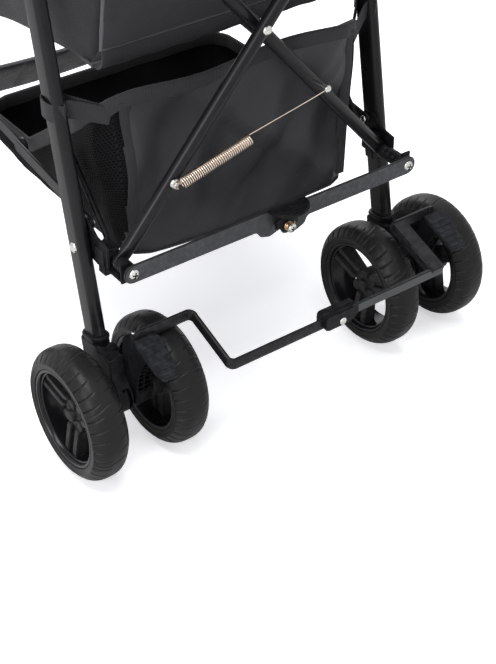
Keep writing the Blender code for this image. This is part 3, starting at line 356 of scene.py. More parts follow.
# Shapes, each a bmesh of its own
def soften(shape, width, segments=2, angle=28):
    """Rounds the edges that are sharper than the angle."""
    if width:
        least = math.radians(angle)
        sharp = [e for e in shape.edges if len(e.link_faces) == 2 and e.calc_face_angle(0) > least]
        bmesh.ops.bevel(shape, geom=sharp, offset=width, segments=segments, affect="EDGES",
                        clamp_overlap=True)
    return shape


def add_object(name, data):
    made = bpy.data.objects.new(name, data)
    bpy.context.scene.collection.objects.link(made)
    return made


def moved(shape, matrix):
    bmesh.ops.transform(shape, matrix=matrix, verts=shape.verts)
    return shape


def box(low, high, edge=0.0008, matrix=None, segments=2):
    shape = bmesh.new()
    low, high = Vector(low), Vector(high)
    size = Matrix.Diagonal((*(high - low), 1))
    bmesh.ops.create_cube(shape, size=1, matrix=Matrix.Translation((low + high) / 2) @ size)
    soften(shape, edge, segments)
    return moved(shape, matrix) if matrix else shape


def join_rows(shape, rows, closed):
    """Faces between neighbouring rows of points."""
    for low, high in zip(rows, rows[1:]):
        count = len(low)
        for i in range(count if closed else count - 1):
            j = (i + 1) % count
            shape.faces.new((low[i], low[j], high[j], high[i]))


def skin(rows, closed=True, wrap=False, caps=False, merge=False):
    """A shape from rows of points. closed joins the ends of each row, wrap the last row to the first."""
    shape = bmesh.new()
    rows = [[shape.verts.new(point) for point in row] for row in rows]
    join_rows(shape, rows + rows[:1] if wrap else rows, closed)
    if caps:
        shape.faces.new(rows[0])
        shape.faces.new(rows[-1])
    if merge:
        bmesh.ops.remove_doubles(shape, verts=shape.verts, dist=1e-6)
    bmesh.ops.recalc_face_normals(shape, faces=shape.faces)
    return shape


def to_mesh(shape, name="part"):
    mesh = bpy.data.meshes.new(name)
    shape.to_mesh(mesh)
    shape.free()
    return mesh


def joined(shapes):
    """One shape made of several. A shape may come with the number of its paint."""
    whole = bmesh.new()
    for shape in shapes:
        shape, paint = shape if isinstance(shape, tuple) else (shape, None)
        if paint is not None:
            for face in shape.faces:
                face.material_index = paint
        part = to_mesh(shape)
        whole.from_mesh(part)
        bpy.data.meshes.remove(part)
    return whole


def mm(*values):
    """Millimetres as metres, for numbers or for points."""
    return [[c / 1000 for c in v] if isinstance(v, tuple) else v / 1000 for v in values]


def turned(profile, base, axis, steps=40, closed=False):
    """A profile of (along, radius) turned about an axis."""
    base, axis = Vector(base), Vector(axis).normalized()
    side = axis.orthogonal().normalized()
    other = axis.cross(side)
    rows = []
    for k in range(steps):
        a = 2 * math.pi * k / steps
        out = side * math.cos(a) + other * math.sin(a)
        rows.append([base + axis * along + out * radius for along, radius in profile])
    return skin(rows, closed, wrap=True, merge=True)


def rod(start, end, radius, edge=0.0006, steps=40):
    """A round pin with softened ends."""
    start, end = Vector(start), Vector(end)
    length = (end - start).length
    edge = min(edge, length / 3, radius / 2)
    rise = [(0, 0), (0, radius - edge), (edge * 0.3, radius - edge * 0.3), (edge, radius)]
    return turned(rise + [(length - along, out) for along, out in reversed(rise)], start, end - start, steps)


def blunt(value, power):
    """A sine or cosine whose curve is made squarer."""
    return math.copysign(abs(value) ** power, value)


def dome(base, axis, radius, height, steps=32):
    """A rivet's head."""
    rounds = [(height * math.sin(a), radius * math.cos(a)) for a in (0, 0.35, 0.75, 1.1, 1.35)]
    return turned([(-0.0004, 0), (-0.0004, radius)] + rounds + [(height, 0)], base, axis, steps)


def screw_head(base, axis, radius, height):
    """A domed cross-head screw: the head is the second paint, the cross the third, near-black as painted
    shade in its recess.
    """
    axis = Vector(axis).normalized()
    side = axis.orthogonal().normalized()
    turn = Matrix((side, axis.cross(side), axis)).transposed().to_4x4()
    top = Matrix.Translation(Vector(base) + axis * height * 0.93) @ turn @ Matrix.Rotation(0.5, 4, "Z")
    long, thin = radius * 0.55, radius * 0.13
    cross = [box((-long, -thin, -0.0002), (long, thin, 0.00022), 0, top),
             box((-thin, -long, -0.0002), (thin, long, 0.00022), 0, top)]
    return [(dome(base, axis, radius, height), 1)] + [(bar, 2) for bar in cross]


AXES = {"X": (2, 0, 1), "Y": (0, 2, 1), "Z": (0, 1, 2)}


def plate(outline, low, high, axis, edge=0.0006, segments=2):
    """An outline made thick along one axis: given as (y, z) across X, (x, z) across Y, or (x, y) across Z."""
    order = AXES[axis]
    loops = [[[(a, b, depth)[k] for k in order] for a, b in outline] for depth in (low, high)]
    return soften(skin(loops, caps=True), edge, segments, 20)


def slot_outline(start, end, radius, steps=10):
    """A bar with round ends, between two points of a plane."""
    along = math.atan2(end[1] - start[1], end[0] - start[0])
    points = []
    for centre, first in ((end, along - math.pi / 2), (start, along + math.pi / 2)):
        for i in range(steps + 1):
            a = first + math.pi * i / steps
            points.append((centre[0] + radius * math.cos(a), centre[1] + radius * math.sin(a)))
    return points


def bar_profile(width, depth, corner, steps=4):
    """A rectangle with round corners. With the corner at half the width it is an oval."""
    corner = min(corner, width * 0.4995, depth * 0.4995)
    points = []
    for sx, sy, first in ((1, 1, 0), (-1, 1, 90), (-1, -1, 180), (1, -1, 270)):
        for i in range(steps + 1):
            a = math.radians(first + 90 * i / steps)
            points.append((sx * (width / 2 - corner) + corner * math.cos(a),
                           sy * (depth / 2 - corner) + corner * math.sin(a)))
    return points


def round_profile(radius, steps=12):
    return [(radius * math.cos(2 * math.pi * i / steps), radius * math.sin(2 * math.pi * i / steps))
            for i in range(steps)]


def stood(outline, at, way, up, size=1.0):
    """The points of a flat outline stood across a way. Its second axis leans to up."""
    across = way.cross(up).normalized()
    over = across.cross(way)
    return [at + across * a * size + over * b * size for a, b in outline]


OVAL = bar_profile(OVAL_W, OVAL_D, OVAL_W / 2, 7)


def sweep(path, profile, up, closed=False):
    """A closed profile carried along a path. Its second axis leans to up."""
    path = [Vector(p) for p in path]
    count, rows = len(path), []
    for i, point in enumerate(path):
        before, after = (i - 1, (i + 1) % count) if closed else (max(i - 1, 0), min(i + 1, count - 1))
        rows.append(stood(profile, point, (path[after] - path[before]).normalized(), up))
    return skin(rows, wrap=closed, caps=not closed)


def sleeve(start, end, outer, inner):
    """A short hollow collar between two points, its outer and inner outlines with as many points each."""
    start, end = Vector(start), Vector(end)
    way, length, edge = (end - start).normalized(), (end - start).length, 0.0012
    stations = [(0, inner, 1.0), (0, outer, 0.94), (edge, outer, 1.0), (length - edge, outer, 1.0),
                (length, outer, 0.94), (length, inner, 1.0)]
    rows = [stood(outline, start + way * at, way, X.cross(way), size) for at, outline, size in stations]
    return skin(rows, wrap=True)


def rounded(points, radius, steps=6):
    """The same path with its inner corners replaced by arcs."""
    points = [Vector(p) for p in points]
    path = [points[0]]
    for before, corner, after in zip(points, points[1:], points[2:]):
        one, two = (before - corner).normalized(), (after - corner).normalized()
        half = one.angle(two) / 2
        back = min(radius / math.tan(half), (before - corner).length * 0.49, (after - corner).length * 0.49)
        centre = corner + (one + two).normalized() * back / math.cos(half)
        first, last = corner + one * back - centre, corner + two * back - centre
        for i in range(steps + 1):
            path.append(centre + first.lerp(last, i / steps).normalized() * first.length)
    return path + [points[-1]]


def smooth_path(points, steps=8):
    """A curve through the points, as a Catmull-Rom spline."""
    points = [Vector(p) for p in points]
    ends = [points[0] * 2 - points[1]] + points + [points[-1] * 2 - points[-2]]
    path = []
    for p0, p1, p2, p3 in zip(ends, ends[1:], ends[2:], ends[3:]):
        for i in range(steps):
            t = i / steps
            path.append(0.5 * ((2 * p1) + (p2 - p0) * t + (2 * p0 - 5 * p1 + 4 * p2 - p3) * t * t
                               + (3 * p1 - p0 - 3 * p2 + p3) * t ** 3))
    return path + [points[-1]]


def place_piece(name, shapes, slot, node=None, **more):
    """Joins the shapes into one piece, and moves it to where the frame has the rear axle."""
    whole = joined(shapes)
    bmesh.ops.translate(whole, verts=whole.verts, vec=(0, AXLE_Y, 0))
    return place_mesh(name, to_mesh(whole, name), slot, node, **more)


def place_mesh(name, mesh, slot, node=None, body=None, paints=None, sharp=40, matrix=None):
    """Makes a mesh a piece that rides a body. One that stands for a node rides that node's body."""
    if not mesh.materials:
        for paint in paints or [PAINT[slot]]:
            mesh.materials.append(paint)
        mesh.shade_smooth()
        mesh.set_sharp_from_angle(angle=math.radians(sharp))
    obj = add_object(name, mesh)
    if matrix:
        obj.matrix_world = matrix
    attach(obj, body or BODY_OF[node])
    if node:
        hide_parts(node)
    return obj


def moulded(name, shapes, node=None, **more):
    return place_piece(name, shapes, "black_plastic", node, paints=MOULDED, **more)


def painted(number, *shapes):
    return [(shape, number) for shape in shapes]


METAL = [PAINT["black_tube"], PAINT["zinc_steel"], RECESS_SHADE]
MOULDED = [PAINT["black_plastic"], PAINT["zinc_steel"], RECESS_SHADE, GLOSS_BLACK, PAD_BLACK]


# Wheels
SIPES = 70
SIPE_DEPTH = 0.0009
SHOULDER_DEPTH = 0.0010
GROOVE = ((-0.13, 0.0), (-0.06, 0.8), (0.0, 1.0), (0.06, 0.8), (0.13, 0.0), (0.36, 0.0), (0.60, 0.0),
          (0.80, 0.0))


def ease(value, low, high):
    share = min(max((value - low) / (high - low), 0.0), 1.0)
    return share * share * (3 - 2 * share)


def tyre_mesh():
    """A foam tyre: a crowned tread with curved sipes from both shoulders in turn, and stepped side walls."""
    half = TYRE_W / 2
    tread = [(half * u, WHEEL_R - TYRE_DROP * abs(u) ** 3, u) for u in np.linspace(-0.96, 0.96, 33)]
    wall = [(0.990, 0.0662), (1.0, 0.0648), (1.0, 0.0637), (0.972, 0.0631), (0.962, 0.0608), (0.950, 0.0590),
            (0.925, 0.0583), (0.88, TYRE_BORE_R)]
    right = [(half * share, radius, 2) for share, radius in wall]
    left = [(-half * share, radius, 2) for share, radius in reversed(wall)]
    rows = []
    for sipe in range(SIPES):
        side = 1 if sipe % 2 else -1
        for along, weight in GROOVE:
            row = []
            for x, radius, u in left + tread + right:
                on_tread = abs(u) <= 1
                u = u if on_tread else math.copysign(1, x)
                skew = 0.60 * math.sin(u * 1.9)
                across = u * side
                reach = ease(across, 0.10, 0.46) if sipe % 10 else 0.8
                shoulder = ease(across, 0.62, 0.95)
                cut = weight * (SIPE_DEPTH + SHOULDER_DEPTH * shoulder) * reach
                cut += SHOULDER_DEPTH * shoulder * max(0.0, 1 - max(along, 0) / 0.9)
                a = 2 * math.pi * (sipe + along + skew) / SIPES
                r = radius - (cut if on_tread else 0)
                row.append((x, r * math.sin(a), r * math.cos(a)))
            rows.append(row)
    return to_mesh(skin(rows, wrap=True), "tyre")


def rim_mesh():
    """A glossy barrel, three pairs of sloping bars and a hub of three bosses. Its spoked face looks to +X."""
    half = TYRE_W / 2 * 0.9
    barrel = [(half, 0.0574), (half + 0.0006, 0.0560), (half + 0.0004, 0.0545), (half - 0.0010, 0.0535)]
    barrel += mm((16.2, 52.9), (15.2, 51.6), (2, 51), (-14, 52)) + [(-half + 0.0008, 0.0534), (-half, 0.0548)]
    barrel += [(-half, 0.0574), (-half + 0.0010, RIM_R), (half - 0.0010, RIM_R)]
    hub = mm((12.8, 0), (12.6, 4.5), (11.6, 6.4), (9.4, 7.2), (7.4, 7.8), (7, 10.5), (6.6, 15), (5.2, 17.2))
    hub += [(0.0030, HUB_R - 0.0004), (-0.0040, HUB_R - 0.0004)]
    hub += mm((-15, 17), (-17, 15.8), (-17, 7), (-14, 6.2), (-14, 0))
    shapes = [(turned(barrel, (0, 0, 0), X, 96, closed=True), 0), (turned(hub, (0, 0, 0), X, 64), 1)]
    bar = mm((12.5, -3), (16.5, 8), (20, 9.6), (48, 14.6), (51.8, 13.6), (52.5, 11), (52.5, -1), (50, -3))
    web = mm((12.5, -2), (16.5, 3.5), (50, 8.5), (52.2, 7), (52.2, -1))
    boss = mm((-6, 0), (-6, 6.8), (7, 6.8), (8.6, 6.2), (9.2, 4.8), (8.6, 4.2), (8.4, 0))
    upright = Matrix(((0, 0, 1, 0), (0, 1, 0, 0), (1, 0, 0, 0), (0, 0, 0, 1)))
    for k in range(3):
        a = 2 * math.pi * k / 3
        turn = Matrix.Rotation(a + math.pi, 4, "X")
        for side in (-1, 1):
            y = side * SPOKE_APART
            shapes.append((moved(plate(bar, y - 0.0041, y + 0.0041, "Y", 0.0008), turn @ upright), 1))
            shapes.append((box((0.0020, y - 0.0052, 0.0480), (0.0115, y + 0.0052, 0.0524), 0.0014, turn), 1))
        shapes.append((moved(plate(web, -0.0055, 0.0055, "Y", 0.0006), turn @ upright), 1))
        shapes.append((turned(boss, Vector((0, -math.sin(a), math.cos(a))) * 0.0145, X, 28), 1))
    whole = joined(shapes)
    bmesh.ops.recalc_face_normals(whole, faces=whole.faces)
    return to_mesh(whole, "rim")


def wheels():
    tyre, rim = tyre_mesh(), rim_mesh()
    for end in ("rear", "front"):
        for label, side in SIDES:
            for row, outward in (("outer", side), ("inner", -side)):
                where = f"{end}_{label}_{row}"
                turn = Matrix.Rotation(0 if outward > 0 else math.pi, 4, "Z")
                turn = Matrix.Translation(centre_of("tyre_" + where)) @ turn
                place_mesh("soft_tyre_" + where, tyre, "tyre", "tyre_" + where, matrix=turn, sharp=60)
                place_mesh("spoked_rim_" + where, rim, "gloss_rim", "rim_" + where, matrix=turn,
                           paints=[PAINT["gloss_rim"], RIM_MATTE])


# Rear legs and their housings
def leg_point(share):
    """The middle of the leg tube, at a length from its foot."""
    return Vector((0, *LEG_FOOT)) + LEG_WAY * share


def oval_ring(grow):
    """The oval of the leg and push tubes, made wider all round."""
    return bar_profile(OVAL_W + grow, OVAL_D + grow, (OVAL_W + grow) / 2, 7)


def rear_leg(label, side):
    length = (HINGE_Z - LEG_FOOT[1]) / math.cos(LEAN_ANGLE) + 0.012
    path = [leg_point(s) + X * side * SIDE_X for s in np.linspace(-0.0100, length, 12)]
    place_piece("leg_tube_" + label, [sweep(path, OVAL, Y)], "black_tube", "rear_leg_" + label)


def axle_housing(label, side):
    """The plastic foot of a leg: a flared collar, a tapered body, a rounded block and the axle's boss."""
    x = side * SIDE_X
    middle = x - 0.00125
    low, high = middle - 0.00945, middle + 0.00945
    outline = mm((27, 133), (58.5, 129), (56, 112), (42, 86), (25, 64), (12, 58), (-10, 60), (-18.5, 70),
                 (-19.2, 83), (-12, 94))
    body = plate(outline, low, high, "X", 0.0016)
    outline = mm((30, 128.5), (-1, 127.5), (-3, 100), (-11, 90), (10, 80), (32, 90))
    near = plate(outline, low - 0.0004, high + 0.0006, "X", 0.0020, 3)
    far = plate(mm((30, 128.5), (12, 128.5), (12, 96), (32, 90)), low + 0.004, x + 0.0140, "X", 0.0030, 4)
    rings = mm((-28, 2.4), (-16, 4.2), (-12, 5.2), (-3.5, 5.4), (-2, 7.2), (0.5, 7.4), (1.6, 6), (1.6, 1))
    rows = [stood(oval_ring(grow), leg_point(along) + X * x, LEG_WAY, Y) for along, grow in rings]
    collar = soften(skin(rows, caps=True), 0.0003, 1, 50)
    boss = rod((low - 0.0006, 0, WHEEL_R), (high + 0.0004, 0, WHEEL_R), 0.0200, edge=0.0052, steps=72)
    starts = [low + 0.002 + 0.0052 * k for k in range(4)]
    ribs = [box((start, 0.0460, 0.0900), (start + 0.0016, 0.0575, 0.1270), 0.0005) for start in starts]
    moulded("foot_housing_" + label, painted(0, body, near, far, collar, *ribs) + [(boss, 3)],
            "axle_housing_" + label)
    axle = frame["nodes"]["rear_axle_" + label].data
    axle.materials.clear()
    axle.materials.append(PAINT["zinc_steel"])


# Push tubes, grips, hinges and castors


def push_tube(label, side):
    """The long oval tube, bent to the rear at its top, and the ribbed foam grip on its end."""
    x = side * SIDE_X
    bend_y = push_y(PUSH_BEND_Z)
    high_y = bend_y - math.tan(PUSH_TOP_LEAN) * (GRIP_Z - PUSH_BEND_Z)
    corners = [(push_y(PUSH_FOOT_Z), PUSH_FOOT_Z), (bend_y, PUSH_BEND_Z), (high_y, GRIP_Z),
               (GRIP_END_Y + 0.0045, GRIP_Z)]
    path = rounded([(x, *corner) for corner in corners], 0.045, 14)
    tube = sweep(path, OVAL, X.cross(PUSH_UP))
    place_piece("handle_tube_" + label, [tube], "black_tube", "push_tube_" + label)
    start = high_y - 0.033
    length = start - GRIP_END_Y
    profile = [(0, 0.0092), (0.0002, 0.0172), (0.0010, GRIP_R + 0.0020), (0.0040, GRIP_R + 0.0024)]
    ribs = 9
    for k in range(ribs):
        at = 0.0100 + (length - 0.0200) * k / (ribs - 1)
        body = GRIP_R + 0.0018 + 0.0012 * math.sin(math.pi * k / (ribs - 1))
        profile += [(at - 0.0022, body), (at - 0.0012, body - 0.0011), (at + 0.0012, body - 0.0011),
                    (at + 0.0022, body)]
    profile += [(length - 0.0050, GRIP_R + 0.0012), (length - 0.0012, GRIP_R + 0.0006)]
    profile += [(length, GRIP_R - 0.0016), (length, 0)]
    grip = turned(profile, (x, start, GRIP_Z), -Y, 56)
    place_piece("foam_grip_" + label, [grip], "grip_foam", "grip_" + label, sharp=50)


def leg_hinge(label, side):
    """Two plastic cheeks on the push tube with the rivets of the leg and of the tube."""
    x = side * SIDE_X
    centre = Vector((0, HINGE_Y, HINGE_Z))
    corners = mm((-19, -12), (-12, -18), (14, -16), (30, 18), (32, 55), (-34, 55))
    path = rounded([centre + PUSH_UP * a + PUSH_OUT * b for a, b in corners + corners[:2]], 0.007, 5)
    outline = [tuple(p[1:]) for p in path[1:-1]]
    reach = OVAL_W / 2 + 0.0004
    shapes = painted(1, rod((x - reach, HINGE_Y, HINGE_Z), (x + reach, HINGE_Y, HINGE_Z), 0.0040))
    for s in (-1, 1):
        faces = sorted((x + s * reach, x + s * (reach + 0.0025)))
        shapes.append((plate(outline, *faces, "X", 0.0007), 0))
        for up, out, radius, height in mm((0, 0, 7.8, 3.4), (-20, 44, 4.2, 1.8), (20, 44, 4.2, 1.8)):
            at = centre + PUSH_UP * up + PUSH_OUT * out + X * (x + s * (reach + 0.0024))
            shapes.append((dome(at, (s, 0, 0), radius, height), 1))
    moulded("hinge_plates_" + label, shapes, "leg_hinge_" + label)


def castor(label, side):
    """The castor's socket below the push tube, and its fork with the front axle."""
    x = side * SIDE_X
    cup = mm((0, 0), (0, 24), (1.4, 25), (8, 24.6), (10.5, 23.6), (12, 21), (12.5, 0))
    socket = turned(cup, (x, SWIVEL_Y, 0.1660), Z, 56)
    lay = Matrix.Translation((x, push_y(PUSH_FOOT_Z), PUSH_FOOT_Z)) @ Matrix.Rotation(PUSH_ANGLE, 4, "X")
    arm = box((-0.0125, -0.0195, -0.0205), (0.0125, 0.0195, -0.0003), 0.0035, lay, 3)
    lip = sleeve(lay @ Vector((0, 0, -0.004)), lay @ Vector((0, 0, 0.0150)), oval_ring(0.0068),
                 oval_ring(0.0006))
    rivet = dome(lay @ Vector((-0.0120, 0, 0.008)), (-1, 0, 0), 0.0036, 0.0014)
    moulded("castor_cup_" + label, painted(0, socket, arm, lip) + [(rivet, 1)], "castor_socket_" + label)
    head = mm((0, 0), (0, 22.8), (1.2, 24), (6, 25), (7.2, 24.2), (7.5, 0))
    top = turned(head, (x, SWIVEL_Y, 0.1580), Z, 56)
    outline = [(SWIVEL_Y + 0.020, 0.1600), (SWIVEL_Y - 0.020, 0.1600), (CASTOR_Y - 0.017, 0.0850),
               (CASTOR_Y - 0.010, 0.0620), (CASTOR_Y + 0.010, 0.0620), (CASTOR_Y + 0.017, 0.0850),
               (SWIVEL_Y + 0.014, 0.1400)]
    blade = plate(outline, x - 0.0110, x + 0.0110, "X", 0.0030, 3)
    boss = rod((x - 0.0118, CASTOR_Y, WHEEL_R), (x + 0.0118, CASTOR_Y, WHEEL_R), 0.0140, edge=0.0012)
    reach = FRONT_APART + 0.0110
    pin = rod((x - reach, CASTOR_Y, WHEEL_R), (x + reach, CASTOR_Y, WHEEL_R), 0.0050)
    lock = box((x - 0.0080, SWIVEL_Y + 0.0190, 0.1480), (x + 0.0080, SWIVEL_Y + 0.0300, 0.1545), 0.0018,
               None, 3)
    shapes = painted(0, top, blade, boss) + [(lock, 4), (pin, 1)]
    moulded("castor_body_" + label, shapes, "castor_fork_" + label)


# Lower brackets
def lower_bracket(label, side, cross_y, brace_y):
    """The cheek on the leg, a box beside it, the ribbed spacer and bolt, the stay's pin and the wire."""
    px = side * PIVOT_X
    inner = side * (SIDE_X - OVAL_W / 2 - 0.0004)
    outline = mm((79, 230), (79, 256), (70, 272), (56, 272), (40, 260), (18, 256), (18, 230), (40, 224))
    cheek = plate(outline, *sorted((inner, inner - side * 0.0030)), "X", 0.0012, 3)
    front = cross_y + CROSS_R + 0.0012
    low_x, high_x = sorted((side * 0.2000, side * 0.1800))
    holder = box((low_x, front, 0.2300), (high_x, front + 0.0200, 0.2520), 0.0022, None, 3)
    outline = [(side * a, b) for a, b in mm((199, 232), (182, 232), (184, 219), (199.5, 219))]
    skirt = plate(outline, front + 0.0010, front + 0.0150, "Y", 0.0012)
    web = box((min(px, inner) - 0.001, -0.0085, 0.2262), (max(px, inner) + 0.001, -0.0058, 0.2495), 0.0008)
    arm = box((min(px, inner), -0.0070, 0.2262), (max(px, inner), front + 0.002, 0.2296), 0.0010)
    lug = rod((side * 0.1850, front + 0.001, 0.2455), (side * 0.1850, front - 0.0012, 0.2455), 0.0040)
    bolt_end = cross_y + 0.0025 + 0.0045
    back = brace_y - BRACE_T / 2 - 0.0004
    bolt = rod((px, back - 0.0004, PIVOT_Z), (px, bolt_end, PIVOT_Z), 0.0030)
    head = screw_head((px, back, PIVOT_Z), -Y, 0.0062, 0.0030)
    nut = turned(mm((0, 0), (0, 5.6), (3.4, 5.6), (3.8, 0)), (px, bolt_end - 0.0038, PIVOT_Z), Y, 6)
    length = cross_y - 0.0029 - (brace_y + 0.0020)
    ribs = [(0, 0), (0, 0.0076)]
    for k in range(5):
        at = length * (k + 0.5) / 5
        ribs += [(at - length * 0.060, 0.0084), (at + length * 0.060, 0.0084), (at + length * 0.09, 0.0072)]
    spacer = turned(ribs[:-1] + [(length, 0.0076), (length, 0)], (px, brace_y + 0.0020, PIVOT_Z), Y, 36)
    outer_rivet = dome((side * (SIDE_X + OVAL_W / 2), BRACKET_Y, BRACKET_Z), (side, 0, 0), 0.0062, 0.0032)
    inner_rivet = dome((inner - side * 0.0030, BRACKET_Y, BRACKET_Z), (-side, 0, 0), 0.0055, 0.0022)
    pin = rod((inner, *STAY_REAR), (side * (STAY_X - 0.0040), *STAY_REAR), 0.0025)
    pin_head = dome((side * (STAY_X - 0.0030), *STAY_REAR), (-side, 0, 0), 0.0046, 0.0018)
    bend = [(side * a, b, c) for a, b, c in mm((196, 48, 244), (179, 47, 244), (179, 115, 320.5))]
    wire = sweep(rounded(bend, 0.006), round_profile(0.0034), X * side + Z * 0.3)
    cap = dome(bend[-1], (0, 0.66, 0.75), 0.0034, 0.0020, 16)
    shapes = painted(0, cheek, holder, skirt, web, arm, lug, spacer, wire, cap) + head
    shapes += painted(1, bolt, nut, outer_rivet, inner_rivet, pin, pin_head)
    moulded("pivot_bracket_" + label, shapes, "lower_bracket_" + label)


# Crossed tubes and their sliders
def crossed_tube(label, side, y):
    """A round tube pressed flat at both ends, with the rivet or pin that holds its end of the pull spring."""
    low, high = Vector((side * PIVOT_X, y, PIVOT_Z)), Vector((-side * PIVOT_X, y, CROSS_TOP_Z))
    along, length = (high - low).normalized(), (high - low).length
    stations = mm(-7.8, -7.2, -5.5, -3, 0, 5, 8, 11, 14, 20) + [length / 2]
    stations += [length + past for past in mm(-70, -58, -52, -46, -40, 0, 3, 5.5, 7.2, 7.8)]
    flat_wide, flat_thick = CROSS_FLAT

    def section(at):
        flat = 1 - ease(at, 0.0050, 0.0200) if at < length / 2 else ease(at, length - 0.0700, length - 0.0400)
        past = max(-at, at - length, 0.0)
        wide = CROSS_R * (1 - flat) + flat_wide * flat
        if past:
            wide = math.sqrt(max(flat_wide ** 2 - past ** 2, 0.0008 ** 2))
        thick = CROSS_R * (1 - flat) + flat_thick * flat
        power = 1 - 0.55 * flat
        turns = [2 * math.pi * k / 32 for k in range(32)]
        return [(wide * blunt(math.cos(a), power), thick * blunt(math.sin(a), power)) for a in turns]

    tube = skin([stood(section(at), low + along * at, along, Y) for at in stations], caps=True)
    shapes = [(tube, 0), (dome(high - Y * flat_thick, -Y, 0.0062, 0.0030), 1)]
    if side < 0:
        place, middle = low + along * SPRING_RIVET_AT, low + along * (length / 2)
        washer = turned(mm((0, 0), (0, 5), (1.5, 5), (1.6, 0)), place - Y * CROSS_R, -Y)
        rivet = dome(place - Y * (CROSS_R + 0.0014), -Y, 0.0058, 0.0036)
        shapes += painted(1, washer, rivet, dome(middle - Y * (CROSS_R - 0.0006), -Y, 0.0056, 0.0032))
    else:
        place = low + along * SPRING_PIN_AT
        reach = CROSS_FRONT_Y - CROSS_REAR_Y + CROSS_R
        pin = rod(place, place - Y * (reach + 0.0080), 0.0030)
        shapes += painted(1, pin, dome(place - Y * (reach + 0.0078), -Y, 0.0042, 0.0018))
    place_piece("crossing_tube_" + label, shapes, "black_tube", "cross_tube_" + label, paints=METAL)


def cross_slider(label, side, cross_y):
    """The sleeve on the push tube that holds the top of a crossed tube."""
    x, px = side * SIDE_X, side * PIVOT_X
    place = Vector((x, push_y(CROSS_TOP_Z), CROSS_TOP_Z))
    rise = PUSH_UP * 0.0210
    collar = sleeve(place - rise, place + rise, bar_profile(0.0250, 0.0410, 0.0050, 7), oval_ring(0.0008))
    low_x, high_x = sorted((px - side * 0.007, px + side * 0.010))
    rear = cross_y + 0.0025 + 0.0115
    lug = box((low_x, rear, CROSS_TOP_Z - 0.007), (high_x, place.y, CROSS_TOP_Z + 0.007), 0.0016, None, 3)
    pin = rod((px, cross_y + 0.0030, CROSS_TOP_Z), (px, rear + 0.002, CROSS_TOP_Z), 0.0052)
    rivet = dome((x + side * 0.0125, place.y, place.z), (side, 0, 0), 0.0045, 0.0020)
    moulded("sliding_sleeve_" + label, painted(0, collar, lug, pin) + [(rivet, 1)], "cross_slider_" + label)


# Springs
def tension_spring():
    """The pull spring between the crossed tubes, with a hook at each end."""
    y = CROSS_REAR_Y - CROSS_R - 0.0068
    start = cross_point(-1, y, SPRING_RIVET_AT)
    end = cross_point(1, y, SPRING_PIN_AT)
    along = (end - start).normalized()
    side = along.cross(Y).normalized()
    path = coil_path(start + along * 0.0055, along, side, 0.0910, 36, 18, 0.0058)
    hook_in = [start - side * 0.0036, start - along * 0.0038, start + side * 0.0036, start + along * 0.0050]
    hook_out = [end - along * 0.0060, end + side * 0.0036, end + along * 0.0036, end - side * 0.0034]
    wire = round_profile(0.00075, 8)
    shapes = [sweep(path, wire, along), sweep(smooth_path(hook_in + path[:1], 5), wire, Y),
              sweep(smooth_path(path[-1:] + hook_out, 5), wire, Y)]
    made = place_piece("pull_spring", shapes, "spring_wire", "tension_spring", sharp=60, paints=[PALE_WIRE])
    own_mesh(made)


def coil_path(start, way, side, length, turns, points, radius):
    """A helix along a way, begun on one side of it."""
    other = way.cross(side)
    path = []
    for i in range(turns * points + 1):
        a = 2 * math.pi * i / points
        place = start + way * (length * i / (turns * points))
        path.append(place + (side * math.cos(a) + other * math.sin(a)) * radius)
    return path


def torsion_spring(hub_y, screw_end, centre):
    start = Vector((centre[0], hub_y - 0.0046, centre[1]))
    path = coil_path(start, -Y, X, start.y - screw_end - 0.0014, 5, 16, 0.0050)
    path = [path[0] - Z * 0.0080, *path, path[-1] + Z * 0.0070]
    coil = sweep(path, round_profile(0.0006, 8), Y)
    place_piece("coil_spring", [coil], "spring_wire", "torsion_spring", sharp=60)


# Rear brace with its foot lever
def brace_bar(label, side, y, lobe):
    """A flat bar with a round nose at its pivot. The lobe at its other end is given from the lower edge."""
    half = BRACE_H / 2
    low, high = PIVOT_Z - half, PIVOT_Z + half
    turns = [math.pi * k / 12 for k in range(13)]
    nose = [(side * (PIVOT_X + half * math.sin(a)), PIVOT_Z + half * math.cos(a)) for a in turns]
    lobe = [(x, low + z) for x, z in mm(*lobe)]
    corners = [(x, 0, z) for x, z in [nose[-1], *lobe, (lobe[-1][0], high), nose[0]]]
    outline = nose[:-1] + [(p.x, p.z) for p in rounded(corners, 0.006, 4)[:-1]]
    bar = plate(outline, y - BRACE_T / 2, y + BRACE_T / 2, "Y", 0.0009)
    for face in bar.faces:
        face.material_index = 1 if face.normal.y > -0.8 else 0
    place_piece("brace_plate_" + label, [bar], "grey_bar", "brace_bar_" + label,
                paints=[PAINT["grey_bar"], PAINT["black_tube"]])


